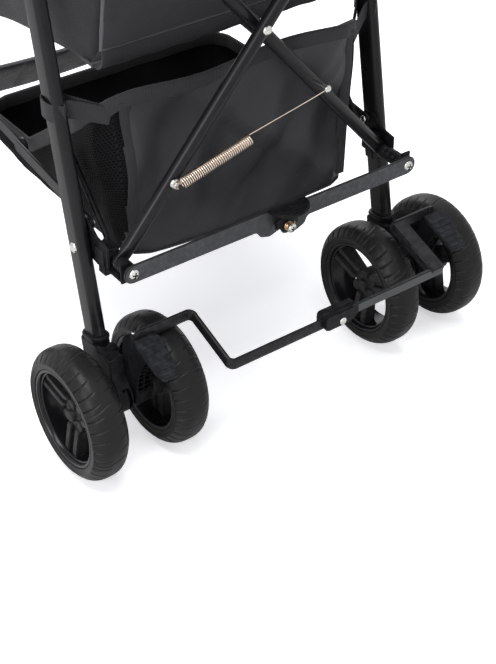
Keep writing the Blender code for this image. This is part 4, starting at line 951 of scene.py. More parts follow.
def foot_lever():
    """The lever that unlocks the brace: a half-round ribbed pad on a stem, with its screw and spring."""
    hub_y = BRACE_Y - 1.5 * BRACE_T - 0.0010
    screw_end = hub_y - 0.0115
    centre = (LEVER_X, PIVOT_Z - 0.0100)

    def along(y):
        return (centre[0], y, centre[1])

    hub = rod(along(hub_y), along(hub_y - 0.0035), 0.0086)
    outline = [(x, PIVOT_Z + z) for x, z in mm((-7, -12), (23, -12), (25, 15), (-9, 15))]
    stem = plate(outline, hub_y - 0.0038, hub_y, "Y", 0.0012)
    outline = [(LEVER_X + 0.0260 * math.cos(a), hub_y - 0.0270 * math.sin(a))
               for a in np.linspace(0, math.pi, 25)]
    pad_shape = plate(outline, PIVOT_Z + 0.0126, PIVOT_Z + 0.0172, "Z", 0.0013, 3)
    ribs = []
    for k in range(5):
        y = hub_y - 0.0040 - 0.0045 * k
        reach = 0.0215 * math.sqrt(max(0.05, 1 - ((hub_y - y) / 0.0270) ** 2))
        ribs.append(box((LEVER_X - reach, y - 0.0008, PIVOT_Z + 0.0168),
                        (LEVER_X + reach, y + 0.0008, PIVOT_Z + 0.0178), 0.0004))
    outline = [(hub_y + y, PIVOT_Z + z) for y, z in mm((0, -6), (0, 13.5), (-19, 13.5))]
    webs = [plate(outline, *sorted((LEVER_X + s * 0.0135, LEVER_X + s * 0.0160)), "X", 0.0006)
            for s in (-1, 1)]
    bolt = rod(along(hub_y - 0.002), along(screw_end), 0.0028)
    washer = turned(mm((0, 0), (0, 5.6), (0.8, 5.6), (0.8, 0)), along(screw_end), -Y)
    shapes = painted(0, hub, stem, pad_shape, *webs) + painted(4, *ribs) + painted(1, bolt, washer)
    moulded("pedal_lever", shapes + screw_head(along(screw_end - 0.0006), -Y, 0.0050, 0.0024), "foot_lever")
    torsion_spring(hub_y, screw_end, centre)


# Side stays
def side_stay(label, side):
    """The two flat halves of a side stay, with the cover of the joint between them."""
    rear, front = Vector(STAY_REAR), Vector(STAY_FRONT)
    middle = (rear + front) / 2
    x = side * STAY_X
    bar = plate(slot_outline(rear, middle, 0.0075), x - STAY_T / 2, x + STAY_T / 2, "X", 0.0007)
    place_piece("stay_bar_rear_" + label, [(bar, 0)], "black_tube", "side_stay_rear_" + label, paints=METAL)
    inner = x - side * (STAY_T + 0.0008)
    bar = plate(slot_outline(middle, front, 0.0075), inner - STAY_T / 2, inner + STAY_T / 2, "X", 0.0007)
    cover = rod((inner, *middle), (inner - side * 0.0040, *middle), 0.0090)
    rivet = dome((inner - side * 0.0038, *middle), (-side, 0, 0), 0.0050, 0.0022)
    place_piece("stay_bar_front_" + label, [(bar, 0), (cover, 0), (rivet, 1)], "black_tube",
                "side_stay_front_" + label, paints=METAL)


def stay_collar(label, side):
    """The collar on the push tube that holds the front end of a side stay."""
    x = side * SIDE_X
    front_y, front_z = STAY_FRONT
    place = Vector((x, push_y(front_z), front_z))
    rise = PUSH_UP * 0.0130
    band = sleeve(place - rise, place + rise, bar_profile(0.0240, 0.0400, 0.0050, 7), oval_ring(0.0008))
    low_x, high_x = sorted((x - side * 0.0120, x - side * 0.0085))
    ear = box((low_x, front_y - 0.009, front_z - 0.008), (high_x, place.y, front_z + 0.008), 0.0015)
    inner = side * (STAY_X - STAY_T - 0.0008)
    pin = rod((x - side * 0.0100, *STAY_FRONT), (inner - side * 0.0020, *STAY_FRONT), 0.0025)
    head = dome((inner - side * 0.0018, *STAY_FRONT), (-side, 0, 0), 0.0052, 0.0026)
    rivet = dome((x + side * 0.0120, place.y, place.z), (side, 0, 0), 0.0042, 0.0018)
    shapes = painted(0, band, ear) + painted(1, pin, head, rivet)
    moulded("stay_band_" + label, shapes, "stay_collar_" + label)


# Brake
PAD_TOP = (-0.0245, 0.1618)
PAD_SLOPE = math.radians(22)


def brake_pedal(label, x):
    """A boss on the axle, a hollow arm with a ladder of ribs behind, and a ribbed pad."""
    low, high = x - 0.00970, x + 0.00970
    boss = rod((low, 0, WHEEL_R), (high, 0, WHEEL_R), 0.0193, edge=0.0014, steps=56)
    back, under = BRAKE_FRONT[0] - BAR_T / 2 - 0.0003, BRAKE_FRONT[1] - BAR_H / 2 - 0.0010
    front = BRAKE_FRONT[0] + BAR_T / 2 + 0.0003
    outline = mm((-10, 76), (9, 86), (2, 150), (-6, 159)) + [(front, 0.1590), (front, under)]
    outline += [(back - 0.0030, under)] + mm((-33, 150), (-16, 118))
    shapes = painted(0, boss, plate(outline, low + 0.0012, high - 0.0012, "X", 0.0010))
    rim = mm((-20, 72), (9, 86), (2, 150), (-6, 159.2)) + [(front, 0.1592), (front, under)]
    rim += [(back - 0.0030, under)] + mm((-48, 147.8), (-42, 144), (-26.2, 112))
    for a, b in ((low, low + 0.0022), (x - 0.0009, x + 0.0009), (high - 0.0022, high)):
        shapes.append((plate(rim, a, b, "X", 0.0007), 0))
    foot = mm((-8, 70), (-8, 88), (-22.2, 88), (-23.6, 85), (-22.2, 72.2))
    shapes.append((plate(foot, low + 0.0002, high - 0.0002, "X", 0.0010), 0))
    rungs = 8
    for k in range(rungs + 1):
        z = 0.0885 + (0.1440 - 0.0885) * k / rungs
        outer = -0.0262 + (z - 0.1120) * (-0.0158 / 0.0320 if z > 0.112 else -0.0062 / 0.0400)
        depth = 0.0070 + 0.0020 * k / rungs
        rung = box((low + 0.001, outer + 0.0010, z - 0.0009), (high - 0.001, outer + depth, z + 0.0009),
                   0.0003)
        shapes.append((rung, 0))
    tilt = Matrix.Translation((x, *PAD_TOP)) @ Matrix.Rotation(PAD_SLOPE, 4, "X")
    corners = mm((-11.3, 0, 0), (-11.3, -43.7, 0), (-7.5, -56, 0), (11.2, -56, 0), (20, -12, 0),
                 (18, -1.5, 0))
    outline = [tuple(p[:2]) for p in rounded(corners + corners[:2], 0.0034, 4)[1:-1]]
    shapes.append((moved(plate(outline, -0.0046, 0.0, "Z", 0.0012, 3), tilt), 4))
    shapes.append((box((-0.0113, -0.0040, -0.0052), (0.0176, 0.0012, -0.0003), 0.0008, tilt), 0))
    ridges = 6
    for k in range(ridges):
        y = -0.0500 + 0.0375 * k / (ridges - 1)
        right = 0.0188 + (-0.0120 - y) * (0.0112 - 0.0200) / 0.044
        left = -0.0098 if y > -0.0437 else -0.0080
        ridge = box((left, y - 0.0020, -0.0006), (right - 0.0006, y + 0.0020, 0.0007), 0.0005, tilt, 3)
        shapes.append((ridge, 4))
    moulded("brake_foot_" + label, shapes, "brake_pedal_" + label)


PEDAL_LEFT_X = -SIDE_X + PEDAL_X
PEDAL_RIGHT_X = SIDE_X + PEDAL_X
BRAKE_PAINTS = [PAINT["black_tube"], PAINT["zinc_steel"], RECESS_SHADE, PAINT["black_plastic"], LIT_FACE]


KNUCKLE_OUTLINE = mm((8, 126.5), (12.5, 121.5), (44.5, 121.5), (56.5, 129.5), (56.5, 141.5), (11.5, 142.5),
                     (8, 139))


def brake_bar():
    """The bent bar from the left pedal to the knuckle, with the knuckle's front half."""
    start_x = PEDAL_LEFT_X - 0.0108
    corners = [(start_x, *BRAKE_FRONT), (BRAKE_CORNER_X - 0.0020, *BRAKE_FRONT),
               (BRAKE_CORNER_X + 0.0030, *BRAKE_REAR), (KNUCKLE_ENDS[0] + 0.010, *BRAKE_REAR)]
    bent = sweep(rounded(corners, 0.0075, 8), bar_profile(BAR_T, BAR_H, 0.0014, 3), Z)
    pin = dome((start_x + 0.0022, BRAKE_FRONT[0], BRAKE_FRONT[1] + BAR_H / 2), Z, 0.0018, 0.0009, 16)
    nose = plate(KNUCKLE_OUTLINE, BRAKE_REAR[0] - BAR_T / 2, -0.0755, "Y", 0.0020, 3)
    place_piece("bent_bar", [(bent, 0), (pin, 1), (nose, 3)], "grey_bar", "brake_bar", paints=BRAKE_PAINTS)


def brake_arm():
    """The cranked bar from the knuckle to the right pedal, with the knuckle's rear half and its rivet."""
    back_y, right_x, middle_z = -0.0935, 0.1850, 0.1362
    front_y = BRAKE_REAR[0] - BAR_T / 2 - 0.0006
    rear_run = box((KNUCKLE_ENDS[1] - 0.010, back_y, middle_z - 0.0065),
                   (right_x, front_y, middle_z + 0.0063), 0.0012)
    cheek = plate(KNUCKLE_OUTLINE, back_y - 0.0004, front_y, "Y", 0.0012)
    slope = math.atan2(BRAKE_FRONT[1] - middle_z, BRAKE_FRONT[0] - back_y)
    length = (BRAKE_FRONT[0] - back_y) / math.cos(slope)
    lay = Matrix.Translation((0, back_y, middle_z)) @ Matrix.Rotation(slope, 4, "X")
    side_run = box((right_x - 0.0200, 0.0, -0.0062), (right_x - 0.0002, length + 0.0010, 0.0062), 0.0014,
                   lay, 3)
    outline = slot_outline((right_x - 0.0130, BRAKE_FRONT[1]), (PEDAL_RIGHT_X, BRAKE_FRONT[1]), BAR_H / 2)
    front_run = plate(outline, BRAKE_FRONT[0] - BAR_T / 2, BRAKE_FRONT[0] + BAR_T / 2, "Y", 0.0008)
    head = dome((KNUCKLE_X, back_y - 0.0002, BRAKE_REAR[1] - 0.0020), -Y, 0.0047, 0.0018)
    # The rear face of the rear run takes the lighter grey: a painted highlight.
    for face in rear_run.faces:
        face.material_index = 4 if face.normal.y < -0.8 else 0
    place_piece("cranked_arm", [rear_run, (cheek, 3), (side_run, 0), (front_run, 0), (head, 1)],
                "black_plastic", "brake_arm", paints=BRAKE_PAINTS)


def hard_parts():
    wheels()
    for label, side in SIDES:
        for make in (rear_leg, axle_housing, push_tube, leg_hinge, castor, side_stay, stay_collar):
            make(label, side)
    lower_bracket("left", -1, CROSS_REAR_Y, BRACE_Y)
    lower_bracket("right", 1, CROSS_FRONT_Y, BRACE_REAR_Y)
    crossed_tube("left", -1, CROSS_REAR_Y)
    crossed_tube("right", 1, CROSS_FRONT_Y)
    cross_slider("left", -1, CROSS_FRONT_Y)
    cross_slider("right", 1, CROSS_REAR_Y)
    brace_bar("left", -1, BRACE_Y, [(-28, 0), (-22, -8), (-10, -11.5), (8, -6), (18, 8)])
    brace_bar("right", 1, BRACE_REAR_Y, [(40, 0), (36, -9), (24, -14), (6, -12), (-3, 4)])
    foot_lever()
    tension_spring()
    brake_pedal("left", PEDAL_LEFT_X)
    brake_pedal("right", PEDAL_RIGHT_X)
    brake_bar()
    brake_arm()


hard_parts()


# Soft goods
SEAT_HALF = 0.1520
SEAM_ROOM = 0.0014
PANEL = 0.60
CHANNEL_W = 0.055 / 18
VOXEL = 0.005
MOST_SWELL = 0.006
SEAT_LINE = [(0.3130, 0.4110), (0.3020, 0.4290), (0.2000, 0.4270), (0.1050, 0.4180)]
BACK_LINE = [(0.0830, 0.4440), (0.0700, 0.5400), (0.0560, 0.6500), (-0.0060, 0.7600), (-0.0790, 0.8880)]
STRAP_EDGE = ((-1, -0.5), (-0.96, -1), (0.96, -1), (1, -0.5), (1, 0.5), (0.96, 1), (-0.96, 1), (-1, 0.5))
WING_LINE = smooth_path(mm((150, 302, 427), (150, 200, 427), (149.5, 108, 423), (149, 79, 490),
                           (148, 64, 590), (148, 54, 645)), 10)


def folds_flat(*pieces):
    """Gives each piece a mesh of its own."""
    for piece in pieces:
        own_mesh(piece)


def along_line(line, share):
    """The point at a share of a smooth line's length, and its direction."""
    fine = smooth_path([(0, *p) for p in line], 10)
    steps = [(b - a).length for a, b in zip(fine, fine[1:])]
    rest = max(share, 0.0) * sum(steps)
    for a, b, step in zip(fine, fine[1:], steps):
        if rest <= step or b is fine[-1]:
            return a.lerp(b, rest / step), (b - a).normalized()
        rest -= step


def line_frames(line, count):
    return [along_line(line, i / (count - 1)) for i in range(count)]


def pad_half(v, half=SEAT_HALF):
    """Half the width of a pad, which draws in between its corners."""
    return half * (1 - 0.035 * (1 - v * v))


def cushion_mesh(name, line, thick, across=30, along=44):
    """A closed crowned slab along a line. Its edge pinches to a seam, and its sides pull in a little."""
    shape = bmesh.new()
    frames = line_frames(line, along + 1)
    rims = []
    for face in (1, -1):
        grid = []
        for j, (point, way) in enumerate(frames):
            v = 2 * j / along - 1
            out = Vector((0, way.z, -way.y))
            point = point + way * SEAM_ROOM * v ** 9
            row = []
            for i in range(across + 1):
                u = 2 * i / across - 1
                full = 0.34 + 0.66 * (max(0.0, 1 - abs(u) ** 6) * max(0.0, 1 - abs(v) ** 10)) ** 0.5
                place = Vector((pad_half(v, SEAT_HALF + SEAM_ROOM) * u, point.y, point.z))
                row.append(shape.verts.new(place + out * face * thick / 2 * full))
            grid.append(row)
        join_rows(shape, grid, False)
        right, left = [row[-1] for row in grid[1:-1]], [row[0] for row in grid[-2:0:-1]]
        rims.append(grid[0] + right + grid[-1][::-1] + left)
    join_rows(shape, rims, True)
    bmesh.ops.recalc_face_normals(shape, faces=shape.faces)
    return to_mesh(shape, name)


def settled(obj):
    """The object with its modifiers worked in."""
    depsgraph = bpy.context.evaluated_depsgraph_get()
    mesh = bpy.data.meshes.new_from_object(obj.evaluated_get(depsgraph))
    obj.modifiers.clear()
    obj.data = mesh
    return obj


def thicken(obj, thickness):
    """Gives a sheet its thickness, half to each side."""
    wall = obj.modifiers.new("wall", "SOLIDIFY")
    wall.thickness, wall.offset = thickness, 0
    return settled(obj)


def swell(mesh, edge):
    """Fills a pad with air in a cloth simulation. Points near its seam stay, and no point moves too far."""
    obj = add_object("swelling", mesh)
    remesh = obj.modifiers.new("even", "REMESH")
    remesh.mode, remesh.voxel_size = "VOXEL", VOXEL
    settled(obj)
    start = np.array([v.co for v in obj.data.vertices])
    pinned = obj.vertex_groups.new(name="seam")
    pinned.add([i for i, place in enumerate(start) if edge(Vector(place))], 1.0, "REPLACE")
    cloth = obj.modifiers.new("cloth", "CLOTH")
    cloth.settings.quality = 4
    cloth.settings.mass = 0.3
    cloth.settings.use_pressure = True
    cloth.settings.uniform_pressure_force = 4
    cloth.settings.effector_weights.gravity = 0
    cloth.settings.vertex_group_mass = "seam"
    cloth.point_cache.frame_start, cloth.point_cache.frame_end = 1, 20
    for frame_number in range(1, 21):
        bpy.context.scene.frame_set(frame_number)
    settled(obj)
    bpy.context.scene.frame_set(1)
    move = np.array([v.co for v in obj.data.vertices]) - start
    far = np.linalg.norm(move, axis=1, keepdims=True)
    after = start + move * np.minimum(1, MOST_SWELL / np.maximum(far, 1e-9))
    obj.data.vertices.foreach_set("co", after.ravel())
    result = obj.data
    bpy.data.objects.remove(obj)
    return result


class Track:
    """Finds how far along a line, and how far off it, a point lies."""

    def __init__(self, line):
        self.frames = line_frames(line, 121)
        self.points = np.array([tuple(p) for p, _ in self.frames])[:, 1:]

    def find(self, place):
        away = self.points - np.array([place.y, place.z])
        index = int(np.argmin((away ** 2).sum(1)))
        point, way = self.frames[index]
        return index / 120 * 2 - 1, point, Vector((0, way.z, -way.y))


def sewn(mesh, track, channels):
    """Presses the sewn channels and panel seams into a swollen pad. Its panel gets a cloth of its own."""
    shape = bmesh.new()
    shape.from_mesh(mesh)
    for vert in shape.verts:
        v, point, out = track.find(vert.co)
        u = vert.co.x / SEAT_HALF
        front = 1 if (vert.co - Vector((vert.co.x, point.y, point.z))).dot(out) > 0 else -0.5
        dent = sum(0.0060 * math.exp(-((v - c) * SEAT_HALF / CHANNEL_W) ** 2) for c in channels)
        dent *= 1 - ease(abs(u), 0.86, 1.0)
        dent += 0.0032 * math.exp(-((abs(u) - PANEL) / 0.016) ** 2) * (1 - ease(abs(v), 0.90, 1.0))
        pucker = 0.0012 * noise.noise(vert.co * 42) + 0.0007 * noise.noise(vert.co * 110)
        vert.co += out * (front * -dent + pucker * (1 - ease(abs(u), 0.92, 1.0)))
    shape.normal_update()
    for face in shape.faces:
        middle = face.calc_center_median()
        v, point, out = track.find(middle)
        inside = abs(middle.x) < SEAT_HALF * PANEL and abs(v) < 0.93
        face.material_index = 1 if inside and face.normal.dot(out) > 0.2 else 0
    return shape


def on_surface(tree, place, way, lift=0.0):
    """The point of a surface under a place, looked for along a direction."""
    found = tree.ray_cast(place - way * 0.08, way, 0.16)
    return found[0] - way * lift if found[0] else place


def stitched(name, tree, lines, way, body, length=0.0042, gap=0.0030):
    """Short raised stitches along lines that are laid on a surface."""
    stitches = []
    for line in lines:
        rest = 0.0
        for a, b in zip(line, line[1:]):
            step = (b - a).length
            place = rest
            while place < step:
                start = on_surface(tree, a.lerp(b, place / step), way, 0.0001)
                end = on_surface(tree, a.lerp(b, min(1, (place + length) / step)), way, 0.0001)
                if (end - start).length > length * 0.4:
                    across = (end - start).cross(way)
                    path = [start, (start + end) / 2 - way * 0.0004, end]
                    stitches.append(sweep(path, round_profile(0.00042, 6), across.cross(end - start)))
                place += length + gap
            rest = place - step
    return place_piece(name, stitches, "webbing", body=body, paints=[THREAD])


def edge_path(line, count=26):
    """The seam round a pad: up one side, across the top, and back."""
    path = []
    for side in (-1, 1):
        stretch = []
        for j, (point, way) in enumerate(line_frames(line, count)):
            stretch.append(Vector((side * pad_half(2 * j / (count - 1) - 1), point.y, point.z)))
        path += stretch if side < 0 else stretch[::-1]
    corners = []
    for a, b in zip(path, path[1:] + path[:1]):
        corners.append(a)
        if (b - a).length > 0.1:
            corners += [a.lerp(b, i / 12) for i in range(1, 12)]
    return corners


def pad(name, node, line, thick, channels, way):
    """A filled pad with its piping and stitches. Gives back its surface, for what is laid on it."""
    track = Track(line)

    def edge(place):
        v = track.find(place)[0]
        return abs(place.x) > pad_half(v) - 0.003 or abs(v) > 0.985

    shape = sewn(swell(cushion_mesh(name, line, thick), edge), track, channels)
    tree = BVHTree.FromBMesh(shape)
    cover = place_piece(name, [shape], "black_fabric", node, paints=[PAINT["black_fabric"], LINING],
                        sharp=180)
    soft = cover.modifiers.new("soft", "SUBSURF")
    soft.levels = soft.render_levels = 1
    settled(cover).data.shade_smooth()
    body = BODY_OF[node]
    seam = sweep(edge_path(line), round_profile(0.0024, 10), way, closed=True)
    piping = place_piece(name + "_piping", [seam], "webbing", body=body, paints=[PIPING])
    lines = []
    for across in (-SEAT_HALF * PANEL, SEAT_HALF * PANEL):
        for off in (-0.0045, 0.0045):
            lines.append([Vector((across + off, p.y, p.z)) for p, _ in line_frames(line, 40)[2:-2]])
    for c in channels:
        point, direction = along_line(line, (c + 1) / 2)
        for off in (-0.006, 0.006):
            at = point + direction * off
            reach = SEAT_HALF * 0.55
            lines.append([Vector((x, at.y, at.z)) for x in np.linspace(-reach, reach, 14)])
    thread = stitched(name + "_stitches", tree, lines, way, body)
    folds_flat(cover, piping, thread)
    return tree


def ribbon(path, wide, thick, side):
    """A flat strap along a path, its width towards side."""
    rows = []
    for i, point in enumerate(path):
        way = (path[min(i + 1, len(path) - 1)] - path[max(i - 1, 0)]).normalized()
        across = (Vector(side) - way * Vector(side).dot(way)).normalized()
        out = way.cross(across)
        rows.append([point + across * a * wide / 2 + out * b * thick / 2 for a, b in STRAP_EDGE])
    return skin(rows, caps=True)


def seat_join():
    """The strip of cloth between the two pads."""
    low, high = along_line(SEAT_LINE, 1.0)[0], along_line(BACK_LINE, 0.0)[0]
    rows = []
    for t in np.linspace(0, 1, 13):
        place = low.lerp(high, t) + Vector((0, -0.006, -0.010)) * math.sin(math.pi * t)
        row = []
        for u in np.linspace(-1, 1, 41):
            slack = 0.0014 * math.sin(math.pi * t) * math.sin(u * 23 + t * 3)
            row.append((u * (SEAT_HALF - 0.0010), place.y + slack, place.z - slack))
        rows.append(row)
    strip = place_piece("seat_join", [skin(rows, False)], "black_fabric", body=BODY_OF["seat_cushion"],
                        sharp=180)
    thicken(strip, 0.0016)
    folds_flat(strip)


def harness(seat_tree, back_tree, down, rear):
    """Two padded shoulder straps, two waist straps and a crotch strap, laid on the pads, and the buckle."""
    body = BODY_OF["seat_cushion"]
    straps, pads = [], []
    for side in (-1, 1):
        path = []
        for share in np.linspace(0.80, 0.20, 22):
            point = along_line(BACK_LINE, share)[0]
            point.x = side * (0.030 + 0.050 * share)
            path.append(on_surface(back_tree, point, rear, 0.0020))
        path[0] = path[0] + rear * 0.0060
        last, low = path[-1], Vector((side * 0.0150, 0.1730, 0.4655))
        for i in range(1, 9):
            path.append(last.lerp(low, i / 8) + Vector((0, 0.010, 0.012)) * math.sin(math.pi * i / 8))
        straps.append(ribbon(path, 0.0240, 0.0017, X))
        pads.append(padded_band([p - rear * 0.0020 for p in path[3:12]], 0.0400, 0.0105, X))
        waist = [on_surface(seat_tree, Vector((side * x, y, 0.47)), down, 0.0020)
                 for x, y in mm((130, 116), (110, 130), (90, 142), (70, 152), (52, 160))]
        waist.append(Vector((side * 0.0180, 0.1730, 0.4640)))
        straps.append(ribbon(waist, 0.0240, 0.0017, (0, 1, 0.2)))
    crotch = [on_surface(seat_tree, Vector((0, y, 0.47)), down, 0.0022) for y in mm(226, 214, 202, 192)]
    crotch[0] = crotch[0] + down * 0.006
    crotch.append(Vector((0, 0.1780, 0.4600)))
    straps.append(ribbon(crotch, 0.0250, 0.0017, X))
    webbing = place_piece("harness_straps", straps, "webbing", "harness")
    cushions = place_piece("shoulder_pads", pads, "black_fabric", body=body, sharp=180)
    buckle = [box((-0.0210, 0.1600, 0.4560), (0.0210, 0.1890, 0.4690), 0.0040, None, 4),
              rod((0, 0.1745, 0.4680), (0, 0.1745, 0.4712), 0.0085, edge=0.0010)]
    for side in (-1, 1):
        x = side * 0.0240
        buckle.append(box((x - 0.004, 0.1650, 0.4585), (x + 0.004, 0.1845, 0.4665), 0.0018, None, 3))
        x = side * 0.0280
        for y in (0.1630, 0.1830):
            buckle.append(box((x - 0.007, y, 0.4600), (x + 0.007, y + 0.0035, 0.4650), 0.0014))
    clasp = place_piece("harness_buckle", buckle, "black_plastic", body=body)
    folds_flat(webbing, cushions, clasp)


def seat():
    down, rear = Vector((0, 0.1, -1)).normalized(), Vector((0, -1, -0.1)).normalized()
    seat_tree = pad("seat_pad", "seat_cushion", SEAT_LINE, 0.0200, (0.05,), down)
    back_tree = pad("backrest_pad", "backrest_cushion", BACK_LINE, 0.0190, (-0.42, 0.12), rear)
    seat_join()
    harness(seat_tree, back_tree, down, rear)


def padded_band(path, wide, thick, side):
    """A filled band with round edges and closed ends."""
    rows = []
    fine = smooth_path(path, 6)
    turns = [2 * math.pi * k / 20 for k in range(20)]
    for i, point in enumerate(fine):
        way = (fine[min(i + 1, len(fine) - 1)] - fine[max(i - 1, 0)]).normalized()
        across = (side - way * side.dot(way)).normalized()
        out = way.cross(across)
        full = max(0.02, 1 - abs(2 * i / (len(fine) - 1) - 1) ** 8) ** 0.5
        half, deep = wide / 2 * full ** 0.3, thick / 2 * full
        rows.append([point + across * half * blunt(math.cos(a), 0.6) + out * deep * blunt(math.sin(a), 0.8)
                     for a in turns])
    return skin(rows, caps=True)


# Basket
BASKET_HALF = 0.1680
BASKET_REAR_Y = 0.0480
BASKET_FRONT_Y = 0.3350
BASKET_GIRTH = 1.246
BASKET_TALL = 0.195
BASKET_TOP_Z = 0.4000
BASKET_CORNER = 0.028 / BASKET_HALF


def basket_width(t):
    """The basket narrows towards its floor."""
    return 1 - 0.10 * (1 - t) ** 2


def basket_point(s, t):
    """s runs round the rim from the left rear corner, by the rear, and t from the floor to the rim."""
    sides = [((-1, 0), (1, 0), 0.336), ((1, 0), (1, 1), 0.287), ((1, 1), (-1, 1), 0.336),
             ((-1, 1), (-1, 0), 0.287)]
    rest = (s % 1.0) * sum(side[2] for side in sides)
    for (u0, v0), (u1, v1), length in sides:
        if rest <= length:
            break
        rest -= length
    k = rest / length
    u, v = u0 + (u1 - u0) * k, v0 + (v1 - v0) * k
    corner = max(0.0, abs(u) - 1 + BASKET_CORNER) * max(0.0, abs(2 * v - 1) - 1 + BASKET_CORNER)
    shrink = 1 - 0.30 * corner / BASKET_CORNER
    u *= shrink
    v = 0.5 + (v - 0.5) * shrink
    rear, front, side = max(0.0, 1 - v / 0.05), max(0.0, (v - 0.95) / 0.05), max(0.0, abs(u) - 0.95) / 0.05
    top = BASKET_TOP_Z - 0.1250 * min(v * 1.6, 1) + 0.004 * math.sin(5 * u) * rear
    x = u * BASKET_HALF * basket_width(t)
    y = BASKET_REAR_Y + (BASKET_FRONT_Y - BASKET_REAR_Y) * v * basket_width(t)
    rise = 0.0110 if x < 0 else 0.0030
    floor_z = 0.1995 + rise * min(1.0, (x / 0.152) ** 2) + 0.006 * v
    slack = math.sin(math.pi * min(t * 1.02, 1.0)) ** 0.7
    fold = 0.0105 * math.sin(6.0 * u + 5.5 * t + 0.6) * math.sin(2.6 * t + 1.3 * u + 0.2)
    fold += 0.0062 * math.sin(13.0 * u - 7.0 * t + 1.1) * (0.4 + 0.6 * t)
    fold += 0.0030 * noise.noise(Vector((u * 2.3, v * 2.1 + 3, t * 2.6)) * 1.7)
    fold += 0.0052 * math.exp(-((u * 0.75 + t - 0.55) / 0.055) ** 2)
    fold += 0.0044 * math.exp(-((t * 1.3 - u - 0.3) / 0.06) ** 2)
    belly = -0.0045 * math.sin(math.pi * t) * (1 - u * u)
    ripple = 0.0045 * math.sin(9 * v + 4 * t) + 0.0030 * math.sin(17 * v - 3 * t) - 0.004
    x += math.copysign(side * ripple * slack, u)
    y += rear * (fold * slack + belly) + front * 0.0035 * math.sin(8 * u + 3 * t) * slack
    return Vector((x, y, floor_z + (top - floor_z) * t))


def basket_shape(across, levels):
    """Mesh sides and a plain rear panel on a plain floor that sags a little."""
    shape = bmesh.new()
    measure = shape.loops.layers.uv.new("cut")
    rows = [[shape.verts.new(basket_point(i / across, level / levels)) for i in range(across)]
            for level in range(levels + 1)]
    for level in range(levels):
        for i in range(across):
            corners = ((level, i), (level, i + 1), (level + 1, i + 1), (level + 1, i))
            face = shape.faces.new([rows[a][b % across] for a, b in corners])
            for loop, (a, b) in zip(face.loops, corners):
                loop[measure].uv = (BASKET_GIRTH * b / across, BASKET_TALL * a / levels)
            middle = face.calc_center_median()
            face.material_index = int(middle.y < BASKET_REAR_Y + 0.020 and abs(middle.x) < 0.1500)
    ring, centre = rows[0], Vector((0, 0.1915, 0.1990))
    for step in range(1, 8):
        share = step / 8
        new = []
        for vert in rows[0]:
            place = vert.co.lerp(centre, share)
            place.z -= 0.0040 * math.sin(math.pi * share) - 0.0016 * noise.noise(place * 30)
            new.append(shape.verts.new(place))
        for i in range(across):
            j = (i + 1) % across
            face = shape.faces.new((ring[j], ring[i], new[i], new[j]))
            face.material_index = 1
            for loop in face.loops:
                loop[measure].uv = (loop.vert.co.x + 0.5, loop.vert.co.y + 0.5)
        ring = new
    middle = shape.verts.new(centre)
    for i in range(across):
        shape.faces.new((ring[(i + 1) % across], ring[i], middle)).material_index = 1
    shape.normal_update()
    bmesh.ops.recalc_face_normals(shape, faces=shape.faces)
    return shape


def basket():
    """The basket's cloth with its hem, cord and seam tapes, and the tabs that hang it on the rear legs."""
    across = 150
    made = place_piece("basket_cloth", [basket_shape(across, 26)], "mesh_cloth", "basket",
                       paints=[PAINT["mesh_cloth"], NYLON], sharp=180)
    thicken(made, 0.0014)
    rim = [basket_point(i / across, 1.0) - Z * 0.0015 for i in range(across)]
    base = [basket_point(i / across, 0.01) for i in range(across)]
    trims = [sweep(rim, bar_profile(0.0052, 0.0170, 0.0022, 3), Z, closed=True),
             sweep(base, round_profile(0.0016, 8), Z, closed=True)]
    for x in (-0.1490, 0.1490):
        line = [basket_point((BASKET_HALF + x / basket_width(t)) / BASKET_GIRTH, t) - Y * 0.0016
                for t in np.linspace(0.04, 0.98, 24)]
        trims.append(ribbon(line, 0.0150, 0.0012, X))
    trim = place_piece("basket_trim", trims, "webbing", body=BODY_OF["basket"], sharp=60)
    folds_flat(made, trim)
    leg = leg_point((BASKET_TOP_Z - LEG_FOOT[1]) / math.cos(LEAN_ANGLE))
    around = mm((-8.95, -10, 392), (-2, -17.2, 391), (9.15, -6, 392), (9.15, 10, 394), (-2, 17.4, 395),
                (-9.35, 6, 394))
    for label, side in SIDES:
        start = basket_point(0.998 if side < 0 else 0.2715, 0.93)
        loop = [(side * (SIDE_X + x), leg.y + y, z) for x, y, z in around]
        tab = ribbon(smooth_path([start, *loop, start + Y * 0.0035], 5), 0.0200, 0.0014, Z)
        made = place_piece("basket_tab_" + label, [tab], "webbing", body=BODY_OF["rear_leg_" + label])


# Canopy
CANOPY_PIVOT = (-0.0900, 0.8400)


def canopy_point(u, v, lift=0.0):
    """v runs from the rear hem to the front bow, u from the left tube to the right one."""
    sweep_angle = math.radians(60 - 105 * (v + 1) / 2)
    sag = abs(math.sin((v + 1) * 1.5 * math.pi)) * 0.0075 * math.cos(u * math.pi / 2) ** 0.3
    reach = 0.2050 + 0.012 * math.cos(v * math.pi / 2) - sag + lift
    arch = math.cos(u * math.pi / 2) ** 0.65
    x = 0.1840 * math.sin(u * math.pi / 2)
    x *= 1 + 0.010 * math.sin((v + 1) * 3 * math.pi) * (1 - abs(u))
    y = CANOPY_PIVOT[0] + reach * arch * math.sin(-sweep_angle) + 0.02
    z = CANOPY_PIVOT[1] + reach * arch * math.cos(sweep_angle) * 0.80 - 0.028
    return Vector((x, y, z))


